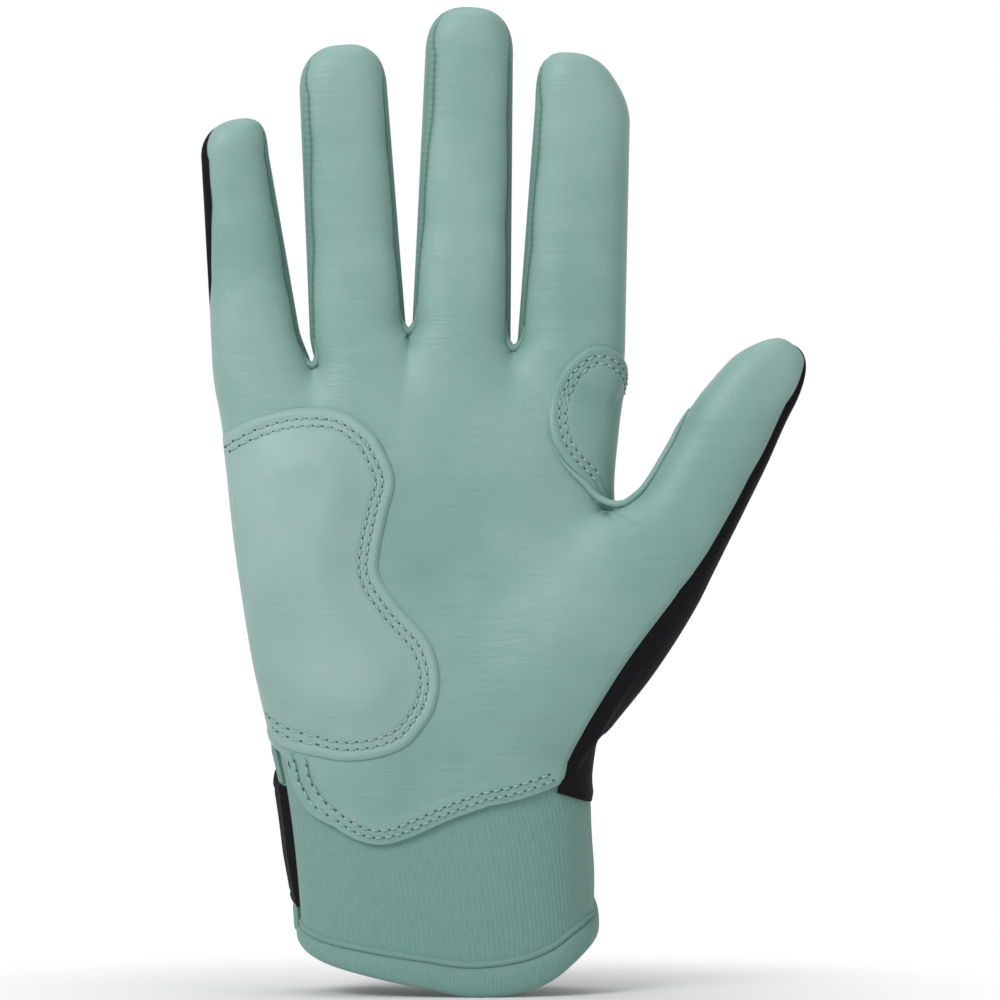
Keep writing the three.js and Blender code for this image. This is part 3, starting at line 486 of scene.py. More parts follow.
TEAL_LIGHT, TEAL_DARK = colour_of(139, 173, 166), colour_of(117, 156, 148)
palm_leather = leather("palm leather", TEAL_LIGHT, TEAL_DARK, 0.3)
FOLD_ZONE = {"little": (0, 24), "ring": (3.9, 27), "middle": (2, 26), "index": (0, 24)}
CROTCHES = ("little_ring", "ring_middle", "middle_index")


def bend(obj, name, zone):
    """The piece's transform baked into its mesh; the two places along the digit that bound its zone are found
    but not used.
    """
    ends = to_part(place(name, np.array(zone, float), 0.0, 0.0))
    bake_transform(obj)


CROTCH_DOWN = 15.0  # the lines that find a crotch start this far below it
CROWDING = 6.0  # a lower row that crosses a crotch's line is crowded into this width beside it
START_WIDTH = 6.0  # the seams beside a finger begin over this length


def crotch_line(key, y):
    """Where lines up between two fingers, along the lean of the gap, leave the glove at several depths."""
    lean = np.tan(np.radians(CROTCH_LEAN[key]))
    foot = CROTCH_X[key] - CROTCH_DOWN * lean, y, CROTCH_Z[key] - CROTCH_DOWN
    origin = np.stack(np.broadcast_arrays(*foot), -1)
    return cast(origin, np.broadcast_to([lean, 0, 1.0], origin.shape), FINGER_NAMES)


def keep_apart(row, k, y):
    """A finger's lower row of points between its crotches, with its ends in their corners."""
    step = CROWDING * np.linspace(0, 1, len(row))
    if k > 0:
        first = crotch_line(CROTCHES[k - 1], y)
        row[:, 0] = np.maximum(row[:, 0], first[0] + step)
        row[0] = first
    if k < 3:
        last = crotch_line(CROTCHES[k], y)
        row[:, 0] = np.minimum(row[:, 0], last[0] - step[::-1])
        row[-1] = last
    return row


def finger_face(k, name, seams, face):
    """One face of a finger between its two seams, from the line of the crotches to over the tip, with the
    rays of its lower row, the distance from its seams and the share to which they have begun."""
    finger = FINGERS[name]
    ends = np.pi - side_angle(name, seams, 0, 0.0), side_angle(name, seams, 1, 0.0)
    turn = np.linspace(*ends, FRONT_COLUMNS)
    radius = (np.abs(np.cos(turn)) ** DIGIT_POWER + np.abs(np.sin(turn)) ** DIGIT_POWER) ** (-1 / DIGIT_POWER)
    middle, half = digit_size(name, np.array(0.0))[:2]
    across_at = middle + half * radius * np.cos(turn)
    height = np.linspace(*finger["crotch"], FRONT_COLUMNS)
    lean = np.radians(finger["lean"])
    base = (height - finger["z"] + across_at * np.sin(lean)) / np.cos(lean)
    origin, ray = digit_rays(name, seams, face, base, FRONT_ROWS, TIP_ROWS, FRONT_COLUMNS)
    points = cast(origin, ray, (name,))
    points[0] = keep_apart(points[0], k, face * CROTCH_Y)
    edge = from_edge(points, LEFT, RIGHT, UPPER)
    begun = ease(0, START_WIDTH, from_edge(points, LOWER))
    points, normal = lifted(points, outward(points, FINGER_NAMES), -rolled_in(edge) * begun)
    return dict(points=points, normal=normal, origin=origin[0], ray=ray[0], edge=edge, begun=begun)


fronts = {name: finger_face(k, name, FRONT_SEAM, -1) for k, name in enumerate(FINGER_NAMES)}
for name, grid in fronts.items():
    seam = grid["edge"] + 4 * (1 - grid["begun"])
    front = shell(name + "_front", grid["points"], grid["normal"], LEATHER, seam)
    front.data.materials.append(palm_leather)
    bend(front, name, FOLD_ZONE[name])
    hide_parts(name + "_palm_side")

# Palm. One sheet of the same leather from the wrist edge to the fingers and round the ulnar side of the
# hand, where it is sewn to the back. Its lower edge is folded under and double stitched over the cuff,
# with a blunt point below the heel of the hand.

# Lower edge from the ulnar seam to the ball of the thumb, as places across and heights
V_EDGE = [(0, -45.5, 50), (0.1, -37.4, 46.9), (0.25, -34.3, 38.6), (0.4, -30.1, 31.3), (0.66, -16.2, 24.9),
          (0.92, 3.3, 32), (1, 10, 34.3)]
PALM_ROWS, PALM_SPLIT = 67, 43  # rows up the palm, and the row at the web of the thumb
SIDE_ROUND, SIDE_TURN = 12.0, 100.0  # rays fan out about a line this far inside the side, to this angle


def side_lines(z):
    """Places across at which rays start to fan out on the ulnar and the radial side."""
    middle, half = np.moveaxis(track(HAND, z)[..., :2], -1, 0)
    return middle - half + SIDE_ROUND, middle + half - SIDE_ROUND


def unrolled(p):
    """Places across, with the part round each side laid out flat."""
    left, right = side_lines(p[..., 2])
    quarter = SIDE_ROUND / (np.pi / 2)
    out = np.where(p[..., 0] < left, left - quarter * np.arctan2(left - p[..., 0], -p[..., 1]), p[..., 0])
    return np.where(p[..., 0] > right, right + quarter * np.arctan2(p[..., 0] - right, -p[..., 1]), out)


COLUMNS = 4 * FRONT_COLUMNS - 3  # columns of the hand's panels: those of the fingers, with shared corners
FINGER_COLUMNS = np.split(np.arange(COLUMNS), FRONT_COLUMNS + (FRONT_COLUMNS - 1) * np.arange(3))


def by_finger(work, *grids):
    """Work on the columns below each finger with that finger alone, side by side again in one grid."""
    parts = [work(*(g[:, c] for g in grids), ("thumb", n)) for n, c in zip(FINGER_NAMES, FINGER_COLUMNS)]
    return np.concatenate(parts, axis=1)


def calm(grid, share):
    """A grid drawn towards the mean of its neighbours again and again, by its own share at each point."""
    for _ in range(60):
        mean = sum(np.roll(grid, step, axis) for step in (1, -1) for axis in (0, 1)) / 4
        grid = grid + share[..., None] * (mean - grid)
    return grid


def in_row(rows):
    """The fingers' lower rows end to end, with each shared corner once."""
    return np.concatenate([row[min(k, 1):] for k, row in enumerate(rows)])


UP = np.linspace(0, 1, PALM_ROWS)  # share of the way up at each row
FAN = ease(UP[PALM_SPLIT], UP[PALM_SPLIT] + 0.2, UP)  # the radial side starts to fan out above the web
NEAR_TOP = ease(0.8, 1, UP)[:, None, None]  # share of the fingers' own rays at each row
# The panel is calmed below the fingers, from these shares of the way up, not near its top and sides
CALM_UP, CALM_TOP_ROWS, CALM_SIDE_COLUMNS, CALM_MOST = (0.6, 0.75), 5, 14, 0.5
step_in = np.minimum(np.arange(COLUMNS), np.arange(COLUMNS)[::-1])
row_share = ease(*CALM_UP, UP) * ease(0, CALM_TOP_ROWS, np.arange(PALM_ROWS)[::-1])
CALM_SHARE = CALM_MOST * ease(0, CALM_SIDE_COLUMNS, step_in) * row_share[:, None]


def hand_panel(fingers, face, turn, heights, seam, lower):
    """One face of the hand as a grid in the flat between its lower edge, its two sides and the fingers,
    laid round the hand: rays go straight out over the middle, fan out past both side lines and turn into
    the fingers' own rays near the top. The radial edge starts along the thumb's seam, a power of the
    height. Gives the points, their normals and the places of the columns across."""
    top_row, top_normal = (in_row([f[key][0] for f in fingers.values()]) for key in ("points", "normal"))
    top_origin, top_ray = (in_row([f[key] for f in fingers.values()]) for key in ("origin", "ray"))
    top_flat = np.stack([unrolled(top_row * np.array([1, -face, 1])), top_row[:, 2]], -1)
    share = (top_flat[:, 0] - top_flat[0, 0]) / (top_flat[-1, 0] - top_flat[0, 0])
    left_z, right_z = (low + (top_flat[end, 1] - low) * UP for low, end in zip(heights, (0, -1)))
    left_flat = np.stack([side_lines(left_z)[0] - SIDE_ROUND * turn / 90, left_z], -1)
    start, reach, power = seam
    seam_x = start + reach * np.minimum(UP / UP[PALM_SPLIT], 1) ** power
    right_x = seam_x + (side_lines(right_z)[1] + SIDE_ROUND * turn / 90 - seam_x) * FAN
    right_flat = np.stack([right_x, right_z], -1)
    left_flat[-1], right_flat[-1] = top_flat[0], top_flat[-1]
    flat = coons(lower(share, left_flat[0], right_flat[0]), top_flat, left_flat, right_flat)
    left, right = side_lines(flat[..., 1])
    past_left = np.maximum(left - flat[..., 0], 0)
    past_right = FAN[:, None] * np.maximum(flat[..., 0] - right, 0)
    depth = track(HAND, flat[..., 1])[..., 3] if face > 0 else 0 * left
    origin = np.stack([np.maximum(flat[..., 0], left) - past_right, depth, flat[..., 1]], -1)
    angle = (past_right - past_left) / SIDE_ROUND * np.pi / 2
    ray = np.stack([np.sin(angle), face * np.cos(angle), 0 * angle], -1)
    origin, ray = origin + (top_origin - origin) * NEAR_TOP, ray + (unit(top_ray) - ray) * NEAR_TOP
    points = by_finger(cast, origin, ray)
    points[-1] = top_row
    normal = by_finger(outward, points)
    normal[-1] = top_normal
    return calm(points, CALM_SHARE), unit(calm(normal, CALM_SHARE)), share


def palm_edge(share, first, last):
    """The palm's lower edge in the flat, from the table of its places."""
    return np.concatenate([first[None], track(V_EDGE, share)[1:]])


FOLD_RISE, FOLD_WIDTH = 0.5, 4.6  # the folded lower edge stands up by this over this width
FOLD_ROUND, FOLD_LIP = 0.35, 0.7  # it is rounded off by this over this width
TOP_REACH = 4.0  # both fade out over this length below the fingers


def folded(d):
    """Height of a folded lower edge at a distance from it."""
    return FOLD_RISE * (1 - ease(FOLD_WIDTH - 1, FOLD_WIDTH, d)) - FOLD_ROUND * (1 - ease(0, FOLD_LIP, d))


THUMB_LINE = (10, 27.3, 1.6)  # the palm's edge along the ball of the thumb: start, reach across and power
palm_heights = V_EDGE[0][2], V_EDGE[-1][2]
points, normal, palm_share = hand_panel(fronts, -1, SIDE_TURN, palm_heights, THUMB_LINE, palm_edge)
lift = folded(from_edge(points, LOWER)) - rolled_in(from_edge(points, LEFT))
palm_points, palm_normal = lifted(points, normal, lift * ease(0, TOP_REACH, from_edge(points, UPPER)))
palm = shell("palm", palm_points, palm_normal, LEATHER)
palm.data.materials.append(palm_leather)
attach(palm, "hand")
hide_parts("palm_leather")

# Thumb front. The same leather over the ball of the thumb and up to the tip. It is sewn to the dark back
# along the outer side and to the web gusset on the inner side. Its edge towards the palm is only a join
# between two pieces and doesn't show.

# Seam on the outer side: place along the thumb and place across it
OUTER_SEAM = [(-15.4, 16.6), (-8.4, 14.3), (0, 13.1), (9, 12.4), (20, 11.9), (32, 12.1), (51, 12.8),
              (65, 11.7), (75, 10.9), (86, 9.0), (93.6, 7.6)]
# Seam on the inner side: place along the thumb and depth towards the palm
INNER_SEAM = [(48, 8.5), (53, 6.5), (60, 4.5), (70, 3), (80, 0), (86, -3), (93.6, -3)]
THUMB_COLUMNS, THUMB_END_ROWS = 45, 46
THUMB_ZONE = (50.5, 74)
SIDE_FROM, WEB_AT = 40.0, 52.0  # along the thumb: where its sides begin, and the outer seam at the web's row
BALL = (28, 50)  # between these places the rays turn from straight out to all round the thumb
OUTER_CORNER = np.array([27.5, 0, 40])  # outer end of the lower edge
EDGE_SAG = 1.0  # the lower edge hangs below a straight line by this


def outer_depth(s):
    """Depth of the outer seam towards the palm, from where it lies across the thumb's rounded section."""
    middle, half, deep = digit_size("thumb", s)[:3]
    c = np.clip((track(OUTER_SEAM, s)[..., 0] - middle) / half, -0.999, 0.999)
    return deep * (1 - np.abs(c) ** DIGIT_POWER) ** (1 / DIGIT_POWER)


stations = np.linspace(SIDE_FROM, THUMB_TIP, 9)
thumb_seam = {"thumb": (INNER_SEAM, list(zip(stations, outer_depth(stations))))}
root, along, across = digit_frame("thumb")
below_split = slice(PALM_SPLIT + 1)
split = palm_points[below_split, -1]
split_s, split_l = (split - root) @ along, (split - root) @ across
lower_v = np.linspace(0, 1, PALM_SPLIT + 1)
corner_s = (OUTER_CORNER - root) @ along
seam_s = corner_s + (WEB_AT - corner_s) * lower_v
seam_l = track(OUTER_SEAM, seam_s)[..., 0]
u = np.linspace(0, 1, THUMB_COLUMNS)
s = split_s[:, None] + (seam_s - split_s)[:, None] * u
s = s - EDGE_SAG * (4 * u * (1 - u)) * (1 - lower_v[:, None]) ** 4
l = split_l[:, None] + (seam_l - split_l)[:, None] * u
middle, half, deep, bow = digit_size("thumb", s)
past = ease(*BALL, s)
at_middle, at_half, at_deep, at_bow = digit_size("thumb", split_s)
angle_left = np.arctan2((at_bow - split[:, 1]) / at_deep, (split_l - at_middle) / at_half)[:, None]
angle_right = side_angle("thumb", thumb_seam, 1, np.maximum(s, SIDE_FROM))
angle = angle_left + (angle_right - angle_left) * u
local = np.stack([past * half * np.cos(angle), -deep * (1 - past + past * np.sin(angle)), 0 * s], -1)
lower_origin = place("thumb", s, l + (middle - l) * past, bow * past)
thumb_end = THUMB_END_ROWS, TIP_ROWS, THUMB_COLUMNS
upper_origin, upper_ray = digit_rays("thumb", thumb_seam, -1, s[-1], *thumb_end)
origin = np.concatenate([lower_origin, upper_origin[1:]])
points = cast(origin, np.concatenate([local @ digit_axes("thumb"), upper_ray[1:]]), ("thumb",))
points[below_split, 0] = split
above_split = ease(PALM_SPLIT, PALM_SPLIT + 8, np.arange(len(points)))[:, None]
inner_sink = rolled_in(from_edge(points, LEFT)) * above_split
sink = np.maximum(rolled_in(from_edge(points, RIGHT, UPPER)), inner_sink)
rise = folded(from_edge(points, LOWER)) * ease(0, 1, from_edge(points, LEFT))
thumb_points, thumb_normal = lifted(points, outward(points, ("thumb",)), rise - sink)
thumb_points[below_split, 0], thumb_normal[below_split, 0] = split, palm_normal[below_split, -1]
thumb_front = shell("thumb_front", thumb_points, thumb_normal, LEATHER)
thumb_front.data.materials.append(palm_leather)
bend(thumb_front, "thumb", THUMB_ZONE)
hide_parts("thumb_palm_side")

# Heel pad. A kidney-shaped leather patch over a foam core, laid on the palm and sewn down with two rows
# of thread just inside its cut edge. The foam swells it evenly past the second row. Its ulnar side goes
# round the hand and into the side seam.

# Edges of the patch as unrolled places across and heights, each from the ulnar side or from below
PAD_BELOW = [(0, -45.6, 54), (0.1, -41.6, 51.2), (0.24, -35, 47.6), (0.5, -23.8, 45.2), (0.8, -10, 48.9),
             (1, -3.6, 57)]
PAD_ABOVE = [(0, -54.8, 122.5), (0.22, -46, 128), (0.45, -36.5, 130.3), (0.75, -25, 129.2), (1, -17.6, 123.6)]
PAD_RIGHT = [(0, -3.6, 57), (0.1, -2.2, 64), (0.24, -4.4, 73.5), (0.4, -12.6, 83.4), (0.5, -17, 90.6),
             (0.56, -16.9, 94.8), (0.7, -15, 104.5), (0.84, -13.2, 113.5), (1, -17.6, 123.6)]
PAD_ROWS, PAD_COLUMNS = 110, 80
PAD_STITCH = (2.7, 4.4)  # how far the two rows of thread lie inside the edge
PAD_RIM, PAD_SWELL, PAD_FULL = 1.0, 1.8, 15.0  # height at the edge, rise over the foam, width of the rise
CUT_DROP, CUT_ROUND = 0.55, 0.9  # a cut edge is rounded down by this over this width
GROOVE_DEPTH, GROOVE_HALF = 0.34, 0.55  # the thread pulls a groove of this depth and half width


def on_palm(flat, lift=0.0):
    """Points and normals on the palm from unrolled places across and heights, lifted off the leather."""
    left = side_lines(flat[..., 1])[0]
    turn = -np.maximum(left - flat[..., 0], 0) / SIDE_ROUND * np.pi / 2
    origin = np.stack([np.maximum(flat[..., 0], left), np.zeros_like(turn), flat[..., 1]], -1)
    p = cast(origin, np.stack([np.sin(turn), -np.cos(turn), np.zeros_like(turn)], -1), ALL)
    n = outward(p, ALL)
    return p + np.asarray(lift)[..., None] * n, n


def edge_distance(flat, line):
    """Distance in the flat from each place to the nearest piece of a line."""
    a, b = line[:-1], line[1:]
    step = b - a
    t = np.clip(np.sum((flat[..., None, :] - a) * step, -1) / np.sum(step * step, -1), 0, 1)
    return np.linalg.norm(flat[..., None, :] - a - t[..., None] * step, axis=-1).min(-1)


def sewn_profile(d, rows):
    """Height of a patch over the leather below at a distance from its cut edge: rounded down at the edge,
    with a narrow groove, a bell curve, under each row of thread."""
    height = PAD_RIM - CUT_DROP * (1 - ease(0, CUT_ROUND, d)) ** 1.5
    return height - sum(GROOVE_DEPTH * np.exp(-(((d - row) / GROOVE_HALF) ** 2)) for row in rows)


PAD_TURN = 94.0  # its ulnar edge lies this far round the side, in degrees
SIDE_FLAT, SIDE_RISE = 0.1, 12.0  # at the side seam it lies flat, and it rises over this width


def side_rise(flat):
    """Share of the pad's height, from none at the ulnar seam to all of it on the palm."""
    return ease(0, SIDE_RISE, flat[..., 0] - side_lines(flat[..., 1])[0] + SIDE_ROUND * PAD_TURN / 90)


u, v = np.linspace(0, 1, PAD_COLUMNS), np.linspace(0, 1, PAD_ROWS)
left_z = PAD_BELOW[0][2] + (PAD_ABOVE[0][2] - PAD_BELOW[0][2]) * v
pad_left = np.stack([side_lines(left_z)[0] - SIDE_ROUND * PAD_TURN / 90, left_z], -1)
below, above, beside = track(PAD_BELOW, u), track(PAD_ABOVE, u), track(PAD_RIGHT, v)
below[0], above[0] = pad_left[0], pad_left[-1]
flat = coons(below, above, pad_left, beside)
pad_line = np.concatenate([below, beside[1:], above[-2::-1]])
d = edge_distance(flat, pad_line)
pad_lift = sewn_profile(d, PAD_STITCH) + PAD_SWELL * ease(PAD_STITCH[1], PAD_FULL, d)
pad_base, pad_normal = on_palm(flat)
pad_lift = SIDE_FLAT + (pad_lift - SIDE_FLAT) * side_rise(flat)
pad_points, pad_normal = lifted(pad_base, pad_normal, pad_lift)
pad = shell("heel_pad", pad_points, pad_normal, LEATHER)
patch_leather = leather("patch leather", colour_of(148, 178, 172), colour_of(131, 165, 158), 0.16)
pad.data.materials.append(patch_leather)
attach(pad, "hand")
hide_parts("heel_pad_cover")

# Pad stitching. Two rows of twisted thread round the pad, lighter than the leather, each stitch pulled
# down into its holes.

STITCH_PITCH, STITCH_SHARE = 2.4, 0.74  # from stitch to stitch, and the share of it above the leather
STITCH_RINGS, STITCH_SIDES = 9, 8
THREAD, THREAD_ARCH, THREAD_UP = 0.27, 0.22, 0.12  # radius, bow, and how high its ends lie
HOLE, HOLE_ARCH, HOLE_DOWN = 0.24, 0.04, 0.12  # the same for the dark tube between two stitches, painted shade for the hole there
DIP, END_DIP, NARROWED = 2.2, 0.25, 0.96  # how far its ends dip, over its bow, and how thin they get
THREAD_TURN = 68.0  # the rows of thread end this far round the ulnar side, in degrees


def inset(line, distance):
    """A line moved sideways in the flat, to the left of its own direction."""
    run = unit(np.gradient(line, axis=0))
    return line + distance * np.stack([-run[:, 1], run[:, 0]], -1)


def stitch_ends(start, line, *along):
    """Both ends of each stitch along a line, from a start on, and what goes along the line there."""
    length = from_edge(line, LOWER)
    at = np.arange(start, length[-1] - STITCH_PITCH, STITCH_PITCH)[:, None] + [0, STITCH_SHARE * STITCH_PITCH]
    return [np.stack([np.interp(at, length, values) for values in grid.T], -1) for grid in (line, *along)]


def palm_rows(line, rows):
    """Both ends of each stitch in rows beside a line in the flat, short of the ulnar seam."""
    ends = np.concatenate([stitch_ends(0.3, inset(line, row))[0] for row in rows])
    turned = (side_lines(ends[..., 1])[0] - ends[..., 0]) / SIDE_ROUND * 90
    return ends[(turned < THREAD_TURN).all(1)]


def ringed(name, points, sense=1):
    """A mesh of one or more tubes from rings of points: quads from each ring to the next, and end caps."""
    index = np.arange(points[..., 0].size).reshape(points.shape[:-1])
    after = np.roll(index, -1, axis=-1)
    corners = [index[..., :-1, :], index[..., 1:, :], after[..., 1:, :], after[..., :-1, :]]
    quads = np.stack(corners[:1] + corners[1:][::sense], -1).reshape(-1, 4)
    caps = index[..., 0, ::sense], index[..., -1, ::-sense]
    caps = np.concatenate([cap.reshape(-1, index.shape[-1]) for cap in caps])
    return mesh_object(name, to_part(points.reshape(-1, 3)), [quads, caps])


def stitches(name, ends, normal, thread, arch):
    """Short tubes from end to end: each bows up in the middle, dips at both ends and narrows to them."""
    t = np.linspace(-1, 1, STITCH_RINGS)[None, :, None]
    turn = np.linspace(0, 2 * np.pi, STITCH_SIDES, endpoint=False)[:, None]
    start, end = ends[:, :1], ends[:, 1:]
    up = unit(normal)[:, None]
    spine = start + (end - start) * (t + 1) / 2 + up * arch * (1 - DIP * t**2 - END_DIP * t**8)
    side = unit(np.cross(end - start, up))
    around = np.cos(turn) * side[:, :, None] + np.sin(turn) * up[:, :, None]
    radius = thread * np.sqrt(1 - NARROWED * t**6)
    return ringed(name, spine[:, :, None] + radius[..., None] * around)


def thread_material(name, light, dark):
    """Twisted thread: its fine slanted ridges painted as bands of light and shade in the colour, and a low
    gloss.
    """
    material, shader, add, feed = new_material(name)
    wave = add("TexWave", Vector=add("TexCoord", out="Object"), Scale=700.0, Distortion=1.0, out="Fac")
    feed(shader, Base_Color=add("MixRGB", wave, dark, light), Roughness=0.55)
    return material


def sew(name, ends, up):
    """A row of stitches on the hand, with a dark tube between each two as painted shade for the hole in the
    leather.
    """
    hole = np.stack([ends[:, 1], ends[:, 1] + (1 / STITCH_SHARE - 1) * (ends[:, 1] - ends[:, 0])], 1)
    hole = hole - HOLE_DOWN * up[:, None]
    for obj, material in (
        (stitches(name, ends, up, THREAD, THREAD_ARCH), teal_thread),
        (stitches(name + "_hole_shade", hole, up, HOLE, HOLE_ARCH), stitch_hole_shade),
    ):
        obj.data.materials.append(material)
        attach(obj, "hand")


teal_thread = thread_material("teal thread", colour_of(166, 194, 188), colour_of(122, 156, 148))
# Painted shade: the stitch holes are dark tubes sunk into the leather, their colour standing in for the shade
# inside each hole.
stitch_hole_shade = thread_material("stitch hole shade", colour_of(58, 84, 78), colour_of(42, 64, 59))
ends = palm_rows(pad_line, PAD_STITCH)
height = sewn_profile(edge_distance(ends, pad_line), PAD_STITCH)
at, up = on_palm(ends, SIDE_FLAT + (height - SIDE_FLAT) * side_rise(ends) + THREAD_UP)
sew("heel_pad_thread", at, up.mean(1))

# Wrist edge stitching. Two rows of the same thread hold the folded lower edge of the palm and of the
# thumb's front to the cuff.

EDGE_STITCH, EDGE_UP = (1.7, 3.4), 0.06  # how far the rows lie above the edge, and how high on the fold
PAD_CLEAR = 0.6  # no stitch lies nearer than this to the pad, or under it
edge_x = np.concatenate([track(V_EDGE, palm_share)[:, 0], thumb_points[0, 1:, 0]])
edge_z = np.concatenate([palm_points[0, :, 2], thumb_points[0, 1:, 2]])
ends = palm_rows(np.stack([edge_x, edge_z], -1), EDGE_STITCH)
ends = ends[(ends[..., 1] < np.interp(ends[..., 0], *below.T) - PAD_CLEAR).all(1)]
at, up = on_palm(ends, FOLD_RISE + EDGE_UP)
sew("wrist_edge_thread", at, up.mean(1))

# Web patch. A second piece of the same leather over the fold between the index finger and the thumb,
# where the bat's handle rubs. It goes from the palm round the side of the hand and is sewn down with two
# rows of thread.

# Edge on the palm from the web upwards, then the edge over the top to the back, as points near the skin
WEB_LEFT = [(0, 37.6, -10, 106), (0.2, 33.8, -10, 111.4), (0.4, 28.9, -10.2, 116.8), (0.6, 25.2, -10.8, 124),
            (0.8, 24.6, -10.8, 133), (1, 28.6, -10, 140.8)]
WEB_TOP = [(0, 28.6, -10, 140.8), (0.25, 34.2, -8.8, 144.8), (0.55, 41, -4.5, 142.5), (0.8, 43.4, 2, 138),
           (1, 41, 8, 133.5)]
WEB_BACK = [(0, 38.8, 8, 101), (0.5, 40, 8, 119), (1, 41, 8, 133.5)]
WEB_BELOW = [(0, 37.6, -10, 106), (0.25, 39.3, -5, 104.6), (0.5, 39.6, 0, 104.6), (0.75, 39.4, 4, 103.4),
             (1, 38.8, 8, 101)]
WEB_ROWS, WEB_COLUMNS = 60, 56
WEB_STITCH = (2.4, 4.1)  # how far the two rows of thread lie inside the edge
WEB_INSIDE, WEB_RUN = np.array([25, 0, 117]), np.array([3, 0, 20])  # foot and run of the line inside the hand
WEB_NEAR = 4.0  # the patch goes over on to the thumb where its skin lies no further than this


def on_web(guess, share_up, lift=0.0):
    """Points and normals where lines from inside the side of the hand through guesses leave the glove.
    Down in the fold of the web they stay on the hand, and the thumb covers them."""
    inside = WEB_INSIDE + share_up[..., None] * WEB_RUN
    hand, whole = cast(inside, guess - inside, FINGER_NAMES), cast(inside, guess - inside, ALL)
    step = whole - hand
    near = np.linalg.norm(step, axis=-1) < WEB_NEAR
    p = hand + (near * ease(0.02, 0.12, share_up))[..., None] * step
    n = outward(p, FINGER_NAMES)
    return p + np.asarray(lift)[..., None] * n, n


u, v = np.linspace(0, 1, WEB_COLUMNS), np.linspace(0, 1, WEB_ROWS)
guess = coons(track(WEB_BELOW, u), track(WEB_TOP, u), track(WEB_LEFT, v), track(WEB_BACK, v))
web_base, web_normal = on_web(guess, np.broadcast_to(v[:, None], guess.shape[:2]))
web_line = np.concatenate([web_base[:, 0], web_base[-1, 1:]])
d = edge_distance(web_base, web_line)
web_points, web_normal = lifted(web_base, web_normal, sewn_profile(d, WEB_STITCH))
web = shell("web_patch", web_points, web_normal, LEATHER)
# Painted shade: the web patch is the same leather as the palm but gets darker colours, for the light falling
# off as it turns round the side of the hand.
shaded_web_leather = leather("web patch leather with painted shade", colour_of(134, 168, 161), colour_of(112, 152, 144), 0.16)
web.data.materials.append(shaded_web_leather)
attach(web, "hand")
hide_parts("thumb_web_patch")

# Web patch stitching. Two rows of the same thread inside the patch's cut edge, on the palm and over the
# top. They are sewn through both layers of leather.

WEB_FIRST = 9  # the rows start above the fold of the web
line = web_line[WEB_FIRST:]
up = np.concatenate([web_normal[:, 0], web_normal[-1, 1:]])[WEB_FIRST:]
share_up = np.concatenate([v, np.ones(WEB_COLUMNS - 1)])[WEB_FIRST:]
inward = unit(np.cross(np.gradient(line, axis=0), up))
inward *= np.sign(np.sum(inward * (web_base[WEB_ROWS // 2, WEB_COLUMNS // 2] - line), -1, keepdims=True))
rows = []
for row in WEB_STITCH:
    p, n = on_web(line + row * inward, share_up, sewn_profile(np.array(row), WEB_STITCH))
    rows.append(stitch_ends(0.5, p + THREAD_UP * ease(-0.5, -0.1, -n[:, 1:2]) * n, n))
ends, ups = (np.concatenate(grids) for grids in zip(*rows))
sew("web_patch_thread", ends, ups.mean(1))

# Thumb gusset. A narrow strip of leather on the inner side of the thumb, from the web to the last joint,
# sewn between the thumb's front and its back.

# Back seam: place along the thumb and depth towards the back
GUSSET_BACK = [(48, 6), (60, 5), (74, 4), (84, 3.3), (93.6, 2.6)]
GUSSET_ROWS, GUSSET_COLUMNS, GUSSET_ENDS = 50, 17, (45, 90)
GUSSET_REACH = 1.1  # it stays this near to the thumb's middle, in half widths
s = np.linspace(*GUSSET_ENDS, GUSSET_ROWS)[:, None]
middle, half, deep, bow = digit_size("thumb", s)
thumb_sides = {"thumb": (INNER_SEAM, GUSSET_BACK)}
angle = np.pi - side_angle("thumb", thumb_sides, 0, s)
angle = angle + (np.pi + side_angle("thumb", thumb_sides, 1, s) - angle) * np.linspace(0, 1, GUSSET_COLUMNS)
local = np.stack([half * np.cos(angle), -deep * np.sin(angle), 0 * angle], -1)
origin = place("thumb", np.broadcast_to(s, angle.shape), middle, bow)
points = cast(origin, local @ digit_axes("thumb"), ("thumb",))
far = np.linalg.norm(points - origin, axis=-1) / half
points = origin + (points - origin) * np.minimum(1, GUSSET_REACH / far)[..., None]
points, normal = lifted(points, outward(points, ("thumb",)), -rolled_in(from_edge(points, LEFT, RIGHT)))
gusset = shell("thumb_gusset", points, normal, LEATHER)
gusset.data.materials.append(palm_leather)
bend(gusset, "thumb", THUMB_ZONE)

# Web welt. A folded strip of leather in the seam, which shows as a thin rounded ridge along the lower
# edge of the web patch and on along the inner side of the thumb.

WELT_SIDES = 10
WELT_ENDS = (0.15, 0.72)  # radius at the lower end, and what is added along its length
WEB_OUT, THUMB_OUT = 0.9, 0.6  # how far it lies off the web patch and off the thumb
FOLD_OFF = np.array([1.2, -0.6, 0.2])  # and off the palm's corner where the two meet
LOWER_ROWS, UPPER_ROWS = slice(32, 5, -2), slice(PALM_SPLIT + 3, PALM_SPLIT + 32)


def tube(name, path, radius):
    """A round tube along a path, closed at both ends, with its own radius at each point."""
    run = unit(np.gradient(path, axis=0))
    aside = unit(np.cross(run, [0, 1.0, 0]))
    turn = np.linspace(0, 2 * np.pi, WELT_SIDES, endpoint=False)[:, None]
    around = np.cos(turn) * aside[:, None] + np.sin(turn) * np.cross(aside, run)[:, None]
    return ringed(name, path[:, None] + radius[:, None, None] * around, -1)


def smoothed(path, times):
    """A path drawn a number of times halfway to the mean of each point's neighbours, with its ends kept."""
    for _ in range(times):
        path[1:-1] = (path[:-2] + 2 * path[1:-1] + path[2:]) / 4
    return path


